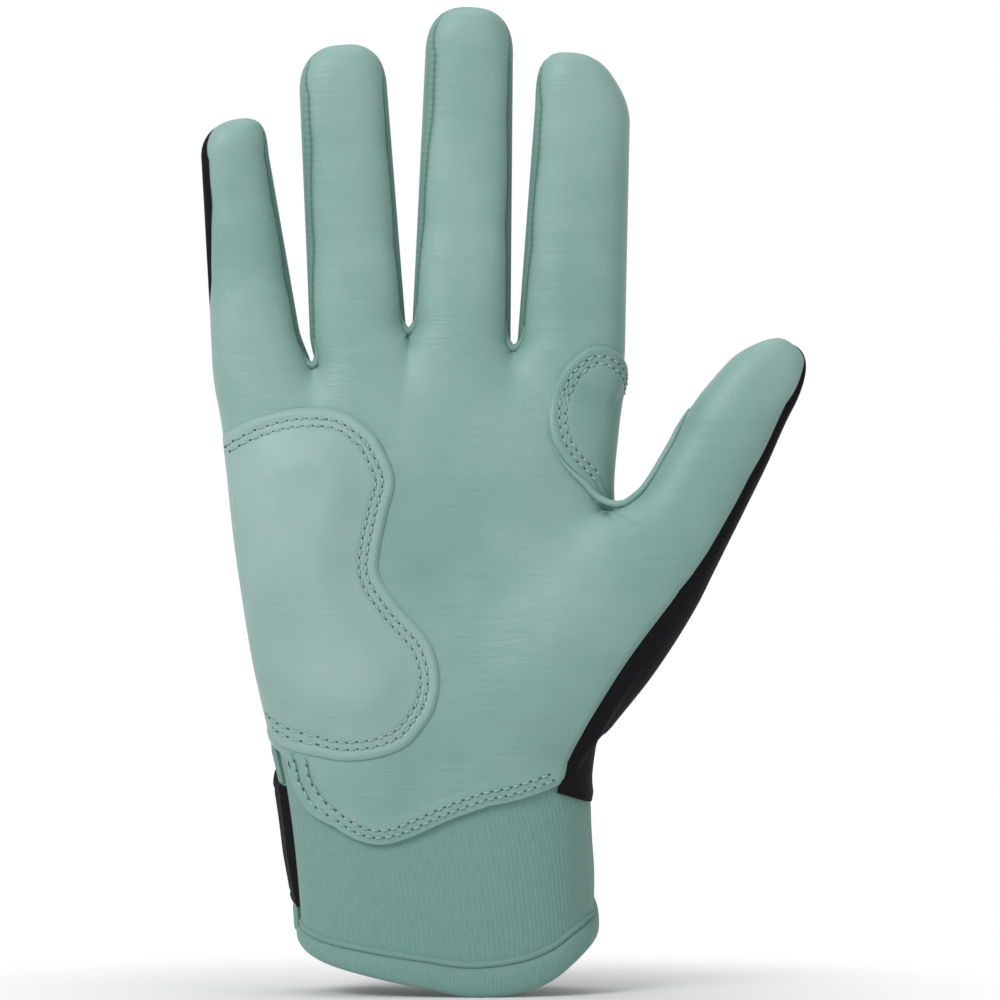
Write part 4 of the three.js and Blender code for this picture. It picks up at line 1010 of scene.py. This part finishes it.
upper_part = (thumb_points + THUMB_OUT * thumb_normal)[UPPER_ROWS, 0]
lower_part = (web_base + WEB_OUT * web_normal)[LOWER_ROWS, 0]
fold = palm_points[PALM_SPLIT, -1] + FOLD_OFF
path = smoothed(np.concatenate([lower_part, fold[None], upper_part]), 3)
t = np.linspace(0, 1, len(path))
radius = WELT_ENDS[0] + WELT_ENDS[1] * ease(0, 0.25, t) * (1 - 0.7 * ease(0.85, 1, t))
welt = tube("web_welt", path, radius)
welt.data.materials.append(palm_leather)
bend(welt, "thumb", THUMB_ZONE)

# Pad foam. A thin slab of closed-cell foam under the pad's cover, inside the inner row of thread. It is
# hidden while the cover is on.

FOAM_ROWS, FOAM_COLUMNS = slice(16, -16, 2), slice(14, -24, 2)  # the part of the cover's grid that it fills
FOAM_UNDER = 0.1  # air under it
foam_top = (pad_lift - LEATHER - FOAM_UNDER)[FOAM_ROWS, FOAM_COLUMNS]
foam_normal = outward(pad_base, ALL)[FOAM_ROWS, FOAM_COLUMNS]
foam_points = pad_base[FOAM_ROWS, FOAM_COLUMNS] + foam_top[..., None] * foam_normal
foam = shell("heel_pad_core", foam_points, foam_normal, (foam_top - FOAM_UNDER)[..., None])
foam_material, shader, add, feed = new_material("pad foam")
cells = add("TexVoronoi", Vector=add("TexCoord", out="Object"), Scale=900.0)
pits = add("Bump", Height=cells, Strength=0.4, Distance=0.0003)
feed(shader, Base_Color=colour_of(226, 222, 210), Normal=pits, Roughness=0.9)
foam.data.materials.append(foam_material)
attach(foam, "hand")
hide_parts("heel_pad_foam")

# Cuff. Three panels of soft rib knit: one in front, sewn under the palm's lower edge, and two at the back
# with an opening between them so that the hand can pass. All three run down into the hem.

KNIT, KNIT_OUT = 1.1, -1.2  # thickness, and how far its face lies below the leather's
SLIT_ANGLES = (76.5, 84.5)  # sides of the opening at the back, in degrees round the wrist from the thumb side
FRONT_TOP = [(180, 57), (205, 52), (235, 42), (255, 40), (290, 44), (330, 48), (360, 49)]
# Rise of the hem round the wrist
HEM_TILT = [(60, 0), (90, 0), (180, 1.5), (205, 3.8), (235, 4.4), (260, 2.5), (278, 0.6), (300, 0.9),
            (311, 2.2), (321, 3.9), (333, 4.6), (346, 3.8), (360, 2.4), (400, 1.2), (450, 0), (470, 0)]


def on_wrist(degrees, height, lift, slope=None):
    """Points and normals round the wrist at a height on the hand's tilted sections."""
    turn = np.radians(degrees)
    middle, half, deep, back, own = np.moveaxis(track(HAND, height), -1, 0)
    tilt = own if slope is None else slope
    origin = np.stack([middle, back, height], -1)
    rise = deep * np.sin(turn)
    p = cast(origin, np.stack([half * np.cos(turn), rise, tilt * rise], -1), ())
    n = outward(p, ())
    return p + np.asarray(lift)[..., None] * n, n


def knit(name, light, dark, ribs, sheen=0.2):
    """Rib knit: fine upright ribs broken into loops, with a soft fuzz."""
    material, shader, add, feed = new_material(name)
    uv = add("UVMap", uv_map="cloth")
    wave = add("TexWave", Vector=uv, Scale=ribs, Distortion=1.6, Detail=2.0, Detail_Scale=3.0, out="Fac")
    loops = add("TexNoise", Vector=add("Mapping", Vector=uv, Scale=(1400, 420, 1)), Scale=1.0, Detail=2.0)
    tone = add("MixRGB", loops, dark, light)
    both = add("Math", wave, loops, operation="MULTIPLY")
    bump = add("Bump", Height=both, Strength=0.35, Distance=0.0004)
    feed(shader, Base_Color=tone, Normal=bump, Roughness=0.85, Specular_IOR_Level=0.2, Sheen_Weight=sheen)
    return material


def lay_uv(obj, across, up, faces=2):
    """A map over a piece in metres of cloth, from millimetres across and up at each point of its grid, the
    same on both faces of a shell."""
    pair = np.stack(np.broadcast_arrays(across, up), -1).reshape(-1, 2) / 1000
    pair = np.tile(pair, (faces, 1))
    corner = np.empty(len(obj.data.loops), np.int32)
    obj.data.loops.foreach_get("vertex_index", corner)
    obj.data.uv_layers.new(name="cloth").data.foreach_set("uv", pair[corner].astype(np.float32).ravel())


cuff_knit = knit("cuff knit", colour_of(126, 165, 156), colour_of(106, 147, 138), 260.0)
CUFF_ROWS, CUFF_COLUMNS = 40, 90
BACK_TOP, CUFF_LOW = 41.0, 2.0  # its upper edge at the back, and its lower edge above the hem's
# At the thumb side it stands out this much more, within these degrees, from and up to these heights
RADIAL_FULL, FULL_TURN, FULL_FROM, FULL_TO = 1.1, (4, 26), (4, 20), (33, 38)
cuff_panels = (
    ("cuff_front_panel", "cuff_front", (180, 360)),
    ("cuff_back_ulnar_panel", "cuff_back_ulnar", (SLIT_ANGLES[1], 180)),
    ("cuff_back_radial_panel", "cuff_back_radial", (0, SLIT_ANGLES[0])),
)
for name, node, (first, last) in cuff_panels:
    degrees = np.linspace(first, last, CUFF_COLUMNS)
    top = track(FRONT_TOP, degrees)[..., 0] if first == 180 else np.full(CUFF_COLUMNS, BACK_TOP)
    low = CUFF_LOW + track(HEM_TILT, degrees if first > 20 else degrees + 360)[..., 0]
    height = low + (top - low) * np.linspace(0, 1, CUFF_ROWS)[:, None]
    degrees = np.broadcast_to(degrees, height.shape)
    by_thumb = 1 - ease(*FULL_TURN, np.minimum(degrees, 360 - degrees))
    full = by_thumb * ease(*FULL_FROM, height) * (1 - ease(*FULL_TO, height))
    points, normal = on_wrist(degrees, height, KNIT_OUT + RADIAL_FULL * full)
    panel = shell(name, points, normal, KNIT)
    lay_uv(panel, from_edge(points, LEFT), height)
    panel.data.materials.append(cuff_knit)
    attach(panel, "hand")
    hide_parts(node)

# Hem. A strip of ribbed elastic binding folded over the lower edge of the cuff, open at the back, with a
# thin raised welt where its upper edge is sewn down.

# Half of its height round the wrist
HEM_HALF = [(60, 3.4), (140, 3.2), (180, 2.1), (215, 2.3), (260, 2.9), (300, 3.4), (335, 3.1), (360, 2.6),
            (410, 3.4), (470, 3.4)]
HEM_HALF_THICK, HEM_MIDDLE, HEM_SIDES, HEM_STEPS = 2.0, -1.9, 28, 220
WELT_UP, WELT_MIDDLE, WELT_HALF, WELT_HALF_THICK, HEM_WELT_SIDES = 0.6, -1.2, 0.7, 0.6, 12


def carried(name, degrees, middle_height, middle_lift, half_height, half_lift, sides, power):
    """A rounded profile carried round the wrist and closed at both ends."""
    turn = np.linspace(0, 2 * np.pi, sides, endpoint=False)
    shape = lambda w: np.sign(w) * np.abs(w) ** (2 / power)
    height = middle_height[:, None] + half_height * shape(np.sin(turn))
    lift = middle_lift + half_lift * shape(np.cos(turn))
    points = on_wrist(np.broadcast_to(degrees[:, None], height.shape), height, lift)[0]
    obj = ringed(name, points)
    lay_uv(obj, from_edge(points, LOWER), height, faces=1)
    return obj


degrees = np.linspace(SLIT_ANGLES[1], 360 + SLIT_ANGLES[0], HEM_STEPS)
hem_low, hem_half = track(HEM_TILT, degrees)[..., 0], track(HEM_HALF, degrees)[..., 0]
hem_profile = HEM_MIDDLE, hem_half[:, None], HEM_HALF_THICK, HEM_SIDES, 2.6
hem = carried("hem", degrees, hem_low + hem_half, *hem_profile)
welt_profile = WELT_MIDDLE, WELT_HALF, WELT_HALF_THICK, HEM_WELT_SIDES, 2.0
hem_welt = carried("hem_welt", degrees, hem_low + 2 * hem_half + WELT_UP, *welt_profile)
hem_knit = knit("hem binding", colour_of(130, 168, 160), colour_of(106, 147, 138), 330.0)
for piece in (hem, hem_welt):
    piece.data.materials.append(hem_knit)
    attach(piece, "hand")
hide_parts("hem_binding")

# Finger backs. Dark stretch fabric over the back of each finger, sewn to the side walls, and straight to
# the front along the outer sides of the little finger and the index finger.

BACK_SEAM = {
    "little": ([(0, 2), (12, 0), (30, -4.5), (45, -5.5)], [(0, 4.5), (40, 4.5)]),
    "ring": ([(0, 4.5), (60, 4.5)], [(0, 4.5), (60, 4.5)]),
    "middle": ([(0, 4.5), (60, 4.5)], [(0, 4.5), (60, 4.5)]),
    "index": ([(0, 4.5), (60, 4.5)], [(0, 3), (60, 3)]),
}
FABRIC = 0.9


def fabric(name, light, dark, weave):
    """Close stretch fabric: a fine diagonal weave and a soft sheen."""
    material, shader, add, feed = new_material(name)
    spot = add("TexCoord", out="Object")
    one = add("TexWave", Vector=spot, Scale=weave, wave_type="BANDS", bands_direction="DIAGONAL", out="Fac")
    two = add("TexNoise", Vector=spot, Scale=weave * 1.5, Detail=2.0)
    tone = add("MixRGB", two, dark, light)
    bump = add("Bump", Height=add("Math", one, two, operation="ADD"), Strength=0.25, Distance=0.0003)
    feed(shader, Base_Color=tone, Normal=bump, Roughness=0.8, Specular_IOR_Level=0.12)
    return material


back_fabric = fabric("back fabric", colour_of(24, 23, 26), colour_of(13, 12, 14), 420.0)
backs = {name: finger_face(k, name, BACK_SEAM, 1) for k, name in enumerate(FINGER_NAMES)}
for name, grid in backs.items():
    back = shell(name + "_finger_back", grid["points"], grid["normal"], FABRIC)
    back.data.materials.append(back_fabric)
    bend(back, name, FOLD_ZONE[name])
    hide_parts(name + "_back")

# Side walls. Narrow strips of leather, the fourchettes, between the front and the back of each finger.
# They start in the crotch, go up the side and narrow away over the tip.

WALL_ROWS, WALL_TIP_ROWS, WALL_COLUMNS = 60, 22, 13
WALL, WALL_START = 0.6, 0.4  # thickness, and how far above the crotch its first row lies
# Finger, side, crotch, share of the way over the tip, CAD node
WALLS = (
    ("little", 1, "little_ring", 0.86, "little_fourchette_radial"),
    ("ring", 0, "little_ring", 0.5, "ring_fourchette_ulnar"),
    ("ring", 1, "ring_middle", 0.5, "ring_fourchette_radial"),
    ("middle", 0, "ring_middle", 0.5, "middle_fourchette_ulnar"),
    ("middle", 1, "middle_index", 0.5, "middle_fourchette_radial"),
    ("index", 0, "middle_index", 0.86, "index_fourchette_ulnar"),
)
wall_leather = leather("side wall leather", colour_of(120, 157, 149), colour_of(102, 142, 132), 0.2)
for name, side, key, over, node in WALLS:
    finger, out = FINGERS[name], 2 * side - 1
    start, dome = tip_start(name)
    lean = np.radians(finger["lean"])
    saddle_line = crotch_line(key, np.linspace(-CROTCH_Y, CROTCH_Y, WALL_COLUMNS))
    rise = saddle_line[:, 2].max() - finger["z"] + out * finger["width"] / 2 * np.sin(lean)
    s = np.linspace(rise / np.cos(lean) + WALL_START, start, WALL_ROWS)[:, None]
    middle, half, deep, bow = digit_size(name, s)
    low, high = -side_angle(name, FRONT_SEAM, side, s), side_angle(name, BACK_SEAM, side, s)
    u = np.linspace(0, 1, WALL_COLUMNS)
    angle = low + (high - low) * u
    local = np.stack([out * half * np.cos(angle), deep * np.sin(angle), 0 * angle], -1)
    origin = place(name, np.broadcast_to(s, angle.shape), middle, bow)
    psi = np.linspace(0, over * np.pi, WALL_TIP_ROWS)[1:]
    psi = psi if side else np.pi - psi
    front_way, back_way = tip_seam(name, FRONT_SEAM, -1, psi), tip_seam(name, BACK_SEAM, 1, psi)
    tip_local = front_way[:, None] + (back_way - front_way)[:, None] * u[None, :, None]
    origin = np.concatenate([origin, np.broadcast_to(origin[-1], tip_local.shape)])
    points = cast(origin, np.concatenate([local, tip_local]) @ digit_axes(name), (name,))
    points = np.concatenate([saddle_line[None], points])
    edge = from_edge(points, LEFT, RIGHT)
    points, normal = lifted(points, outward(points, (name,)), -rolled_in(edge))
    wall = shell(name + ("_wall_radial" if side else "_wall_ulnar"), points, normal, WALL, edge)
    wall.data.materials.append(wall_leather)
    bend(wall, name, FOLD_ZONE[name])
    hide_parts(node)

# Crotch folds. Where the two side walls of neighbouring fingers meet, the strip is folded into a small
# rounded saddle, which shows as a U below each gap and is sewn to the palm in front and the back behind.

SADDLE_LEG, SADDLE_STEPS = 7, 41  # rows of the fronts beside which each leg of the U runs up; steps along it
SADDLE_ENDS = (0.3, 0.65)  # radius at the ends, and what is added in the middle
for key, ulnar, radial in zip(CROTCHES, FINGER_NAMES, FINGER_NAMES[1:]):
    legs = fronts[ulnar]["points"][SADDLE_LEG:0:-1, -1], fronts[radial]["points"][1 : SADDLE_LEG + 1, 0]
    path = np.concatenate([legs[0], crotch_line(key, -CROTCH_Y)[None], legs[1]])
    step = np.linspace(0, len(path) - 1, SADDLE_STEPS)
    path = np.stack([np.interp(step, np.arange(len(path)), values) for values in path.T], -1)
    radius = SADDLE_ENDS[0] + SADDLE_ENDS[1] * ease(0, 0.9, 1 - np.abs(np.linspace(-1, 1, SADDLE_STEPS)))
    saddle = tube("crotch_fold_" + key, smoothed(path, 40) + [0, -0.3, -0.3], radius)
    saddle.data.materials.append(wall_leather)
    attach(saddle, "hand")
    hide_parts("fourchette_saddle_" + key)

# Hand back. One panel of the same dark fabric from the knuckles to the wrist, sewn to the palm along both
# sides of the hand and to the back of the thumb. Its lower edge is turned under over the cuff.

BACK_TURN = 80.0  # its sides go this far round, in degrees
BACK_HEIGHTS, BACK_BOW = (40.0, 41.0), 3.0  # the lower edge's heights at its ends, and its bow in the middle
BACK_LINE = (24, 15.5, 1.3)  # its edge along the thumb: start, reach across and power


def back_edge(share, first, last):
    """The lower edge of the back in the flat: straight from end to end, bowed up by a parabola."""
    line = first + (last - first) * share[:, None]
    line[:, 1] += BACK_BOW * 4 * share * (1 - share)
    return line


points, normal = hand_panel(backs, 1, BACK_TURN, BACK_HEIGHTS, BACK_LINE, back_edge)[:2]
lift = folded(from_edge(points, LOWER)) - rolled_in(from_edge(points, LEFT, RIGHT))
back_points, back_normal = lifted(points, normal, lift * ease(0, TOP_REACH, from_edge(points, UPPER)))
back = shell("hand_back", back_points, back_normal, FABRIC)
back.data.materials.append(back_fabric)
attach(back, "hand")
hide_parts("back_panel")

# Thumb back. The same dark fabric from the wrist up the outer side of the thumb to its tip. It shows from
# the palm side as a dark strip that widens towards the wrist, where its end is turned under.

STRIP_DROP, STRIP_LEVEL = 2.6, 2.8  # its front corner hangs below the palm's edge, and its end is levelled
STRIP_AXIS = (-12, 62)  # start and run, along the thumb, of the line from which its lower rays fan out
STRIP_FORWARD = 0.48  # that line goes this share of the way forward with the thumb
STRIP_FOOT = np.array([21, 2, 0])  # low down the line stands here on the wrist instead
SEWN_FROM = 4  # row from which it is sewn to the hand's back
DROP_UP, FOOT_UP, LEVEL_UP = 0.12, 0.35, 0.25  # shares of the way to the web over which these three fade
from_back, to_front = back_points[below_split, -1], thumb_points[below_split, -1]
fall = STRIP_DROP * (1 - ease(0, DROP_UP, lower_v))
forward = STRIP_FORWARD * THUMB_FORWARD * lower_v
on_axis = place("thumb", STRIP_AXIS[0] + STRIP_AXIS[1] * lower_v, 1.0, -forward)
low_part = 1 - ease(0, FOOT_UP, lower_v)[:, None]
centre = on_axis + (STRIP_FOOT - on_axis * np.array([1, 1, 0])) * low_part
angles = [np.arctan2(gap[:, 1], gap @ across) for gap in (from_back - centre, to_front - centre)]
angles[0] = np.where(angles[0] < 0, angles[0] + 2 * np.pi, angles[0])
places = (from_back - root) @ along - 0.5 * fall, (to_front - root) @ along - fall
u = np.linspace(0, 1, THUMB_COLUMNS)
angle, s = (ends[0][:, None] + (ends[1] - ends[0])[:, None] * u for ends in (angles, places))
s = s + STRIP_LEVEL * 4 * u * (1 - u) * (1 - ease(0, LEVEL_UP, lower_v))[:, None]
lower_origin = place("thumb", s, ((centre - root) @ across)[:, None], centre[:, 1:2])
lower_ray = np.stack([np.cos(angle), np.sin(angle), 0 * angle], -1) @ digit_axes("thumb")
back_sides = {"thumb": (GUSSET_BACK, [(a, -b) for a, b in thumb_seam["thumb"][1]])}
upper_origin, upper_ray = digit_rays("thumb", back_sides, 1, s[-1], *thumb_end)
origin = np.concatenate([lower_origin, upper_origin[1:]])
points = cast(origin, np.concatenate([lower_ray, upper_ray[1:]]), ("thumb",))
points[SEWN_FROM : PALM_SPLIT + 1, 0] = from_back[SEWN_FROM:]
lift = folded(from_edge(points, LOWER)) - rolled_in(from_edge(points, LEFT, RIGHT, UPPER))
points, normal = lifted(points, outward(points, ("thumb",)), lift)
thumb_back = shell("thumb_back_panel", points, normal, FABRIC)
thumb_back.data.materials.append(back_fabric)
bend(thumb_back, "thumb", THUMB_ZONE)
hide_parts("thumb_back")

# Wrist strap. A flat dark band of stretch webbing, sewn to the ulnar side of the cuff, that goes over the
# opening at the back and closes with hook and loop. Its free end has rounded corners.

STRAP_LOW, STRAP_HIGH, STRAP_END, STRAP_CORNER = 10.3, 40.3, 28.0, 7.0
STRAP_TOP, STRAP_THICK, STRAP_SLOPE, STRAP_ROOT = 2.1, 1.2, 0.404, 191.0
# It lies closer to the cuff low down at the ulnar side, and in its seam: depth, degrees, heights
STRAP_HUG, HUG_TURN, HUG_HEIGHT = 0.9, (130, 165), (10, 24)
STRAP_SEWN, SEWN_TURN = 1.2, (180, 190)
STRAP_FILL, FILL_TURN = 1.1, (140, 170)  # there it is filled down to this far below the leather
STRAP_ROUND, STRAP_LIP = 0.35, 1.0  # its edges are rounded down by this over this width
STRAP_GROOVE, STRAP_STITCH, STRAP_GROOVE_HALF = 0.22, 2.4, 0.5  # groove of its row of thread
STRAP_ROWS, STRAP_COLUMNS = 60, 150


def wrist_angle(x, height):
    """Degrees round the back of the wrist to a place across."""
    middle, half = np.moveaxis(track(HAND, height)[..., :2], -1, 0)
    c = np.clip((x - middle) / half, -0.999, 0.999)
    return np.degrees(np.arctan2((1 - np.abs(c) ** HAND_POWER) ** (1 / HAND_POWER), c))


def rounded_end(height, low, high, end, corner):
    """Place across of an upright end at each height, drawn back by a circle's arc in both corners."""
    into = np.maximum(corner - np.minimum(height - low, high - height), 0)
    return end - corner + np.sqrt(np.maximum(corner**2 - into**2, 0))


height = np.linspace(STRAP_LOW, STRAP_HIGH, STRAP_ROWS)
end_angle = wrist_angle(rounded_end(height, STRAP_LOW, STRAP_HIGH, STRAP_END, STRAP_CORNER), height)
degrees = STRAP_ROOT + (end_angle - STRAP_ROOT)[:, None] * np.linspace(0, 1, STRAP_COLUMNS)
height = np.broadcast_to(height[:, None], degrees.shape)
base, normal = on_wrist(degrees, height, 0.0, STRAP_SLOPE)
d = from_edge(base, LOWER, UPPER, RIGHT)
groove = STRAP_GROOVE * np.exp(-(((d - STRAP_STITCH) / STRAP_GROOVE_HALF) ** 2))
edge_round = STRAP_ROUND * (1 - ease(0, STRAP_LIP, d)) + groove
hug = STRAP_HUG * ease(*HUG_TURN, degrees) * (1 - ease(*HUG_HEIGHT, height))
strap_lift = STRAP_TOP - hug - STRAP_SEWN * ease(*SEWN_TURN, degrees)
strap_thick = STRAP_THICK + (strap_lift + STRAP_FILL - STRAP_THICK) * ease(*FILL_TURN, degrees)
points, normal = lifted(base, normal, strap_lift - edge_round)
strap = shell("strap_band", points, normal, strap_thick[..., None])
lay_uv(strap, from_edge(points, LEFT), height)
webbing = knit("strap webbing", colour_of(30, 29, 32), colour_of(17, 16, 18), 420.0, 0.02)
strap.data.materials.append(webbing)
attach(strap, "strap")
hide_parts("wrist_strap")

# Strap stitching. One row of dark twisted thread along the strap's edges and round its free end. It goes
# through the webbing and also holds the hook patch under it.

STRAP_FIRST = 20  # the row starts at the back, past the sewn end
STRAP_SINK, STRAP_ARCH = 0.1, 0.2


def along_edges(grid):
    """Values of a grid in a row near its lower edge, its free end and its upper edge."""
    return np.concatenate([grid[5, STRAP_FIRST:-6], grid[5:-5, -7], grid[-6, -7:STRAP_FIRST:-1]])


face = base + (strap_lift - STRAP_SINK)[..., None] * normal
ends, ups = stitch_ends(0.5, along_edges(face), along_edges(normal))
strap_thread = stitches("strap_thread", ends, ups.mean(1), THREAD, STRAP_ARCH)
dark_thread = thread_material("dark thread", colour_of(52, 51, 55), colour_of(26, 25, 28))
strap_thread.data.materials.append(dark_thread)
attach(strap_thread, "strap")

# Hook and loop. A patch of stiff nylon hooks sewn under the strap's free end and a patch of soft nylon
# loops sewn to the cuff below it. Pressed together they hold the strap closed.

FASTENER_X, FASTENER_Z, FASTENER_CORNER, FASTENER_THICK = (11.0, 25.0), (13.3, 31.0), 4.0, 0.6
FASTENER_STEPS = 24
fastener = fabric("hook and loop", colour_of(40, 39, 42), colour_of(22, 21, 23), 900.0)
for name, node, body, top in (
    ("hook_patch", "strap_hook_patch", "strap", 0.6),
    ("loop_patch", "cuff_loop_patch", "hand", -0.3),
):
    height = np.linspace(*FASTENER_Z, FASTENER_STEPS)
    first = wrist_angle(FASTENER_X[0], height)
    last = wrist_angle(rounded_end(height, *FASTENER_Z, FASTENER_X[1], FASTENER_CORNER), height)
    degrees = first[:, None] + (last - first)[:, None] * np.linspace(0, 1, FASTENER_STEPS)
    points, normal = on_wrist(degrees, np.broadcast_to(height[:, None], degrees.shape), top, STRAP_SLOPE)
    patch = shell(name, points, normal, FASTENER_THICK)
    patch.data.materials.append(fastener)
    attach(patch, body)
    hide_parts(node)

# Strap tabs. Two small folded tabs of the cuff's knit at the ulnar side, above and below the strap's sewn
# end, which finish the seam it is sewn into.

TAB_ROWS, TAB_COLUMNS, TAB_THICK, TAB_TOP = 26, 30, 2.2, 0.6
TAB_DROP, TAB_ROUND = 1.0, 1.6  # its edges are rounded down by this over this width
for name, (low_z, high_z), (first, last) in (
    ("strap_tab_upper", (39.6, 49.0), (160.0, 190.0)),
    ("strap_tab_lower", (3.6, 11.0), (164.0, 190.0)),
):
    degrees, height = np.meshgrid(np.linspace(last, first, TAB_COLUMNS), np.linspace(low_z, high_z, TAB_ROWS))
    base, normal = on_wrist(degrees, height, 0.0, STRAP_SLOPE)
    d = from_edge(base, LEFT, RIGHT, LOWER, UPPER)
    points, normal = lifted(base, normal, TAB_TOP - TAB_DROP * (1 - ease(0, TAB_ROUND, d)) ** 2)
    tab = shell(name, points, normal, TAB_THICK)
    lay_uv(tab, from_edge(points, LEFT), height)
    tab.data.materials.append(cuff_knit)
    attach(tab, "hand")

# Studio. A plain pale floor and backdrop, soft light from the front, upper left, and a camera straight
# in front of the palm, as in the photo.

LENS, SENSOR = 250.0, 36.0
PICTURE_WIDTH = 0.2442  # width seen at the palm's plane, in metres
AIM = (0.01258, -0.009, 0.1082)


def area_lamp(name, at, size, power, tint=(1, 1, 1)):
    """A square lamp that faces the middle of the glove."""
    lamp = bpy.data.lights.new(name, "AREA")
    lamp.size, lamp.energy, lamp.color = size, power, tint
    obj = bpy.data.objects.new(name, lamp)
    obj.location = at
    aim = np.array(AIM) - np.array(at)
    obj.rotation_euler = Vector(aim).to_track_quat("-Z", "Y").to_euler()
    bpy.context.scene.collection.objects.link(obj)
    return obj


area_lamp("key", (-0.75, -1.05, 0.9), 0.7, 12.5)
area_lamp("fill", (0.9, -1.0, 0.25), 1.0, 1.5)
area_lamp("top", (0.0, 0.1, 1.3), 0.8, 4)

floor_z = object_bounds()[0][2]
floor_mesh = bpy.data.meshes.new("floor")
FLOOR_CORNERS = ((-6, -6), (6, -6), (6, 6), (-6, 6))
floor_mesh.from_pydata([(x, y, floor_z) for x, y in FLOOR_CORNERS], [], [(0, 1, 2, 3)])
floor = bpy.data.objects.new("floor", floor_mesh)
bpy.context.scene.collection.objects.link(floor)


def plainly_seen(add):
    """1 for rays that reach the backdrop from the camera, by gloss or through glass, and 0 for the rest."""
    ray = add("LightPath").node.outputs
    either = add("Math", ray["Is Camera Ray"], ray["Is Glossy Ray"], operation="MAXIMUM")
    return add("Math", either, ray["Is Transmission Ray"], operation="MAXIMUM")


FLOOR_FADE = (0.03, 0.16)  # distances from the glove between which the floor turns to the plain backdrop
floor_material, shader, add, feed = new_material("floor")
feed(shader, Base_Color=(0.92, 0.92, 0.92, 1), Roughness=0.9)
reach = add("VectorMath", add("TexCoord", out="Object"), operation="LENGTH", out="Value")
low, high = FLOOR_FADE
fade = add("MapRange", Value=reach, From_Min=low, From_Max=high, interpolation_type="SMOOTHSTEP")
share_white = add("Math", fade, plainly_seen(add), operation="MULTIPLY")
plain = add("Emission", Color=(1, 1, 1, 1), Strength=1.0)
mixed = add("MixShader", share_white, shader.outputs["BSDF"], plain)
feed(floor_material.node_tree.nodes["Material Output"], Surface=mixed)
floor_mesh.materials.append(floor_material)

world = bpy.data.worlds.new("studio")
bpy.context.scene.world = world
world.use_nodes = True
add, feed = node_maker(world.node_tree)
soft = world.node_tree.nodes["Background"]
feed(soft, Color=(1, 1, 1, 1), Strength=0.35)
white = add("Background", Color=(1, 1, 1, 1), Strength=1.0)
mixed = add("MixShader", plainly_seen(add), soft.outputs["Background"], white)
feed(world.node_tree.nodes["World Output"], Surface=mixed)

camera = bpy.data.cameras.new("camera")
camera.lens, camera.sensor_width = LENS, SENSOR
camera_object = bpy.data.objects.new("camera", camera)
camera_object.location = (AIM[0], AIM[1] - PICTURE_WIDTH * LENS / SENSOR, AIM[2])
camera_object.rotation_euler = (np.pi / 2, 0, 0)
bpy.context.scene.collection.objects.link(camera_object)
bpy.context.scene.camera = camera_object
bpy.context.scene.view_settings.view_transform = "Standard"
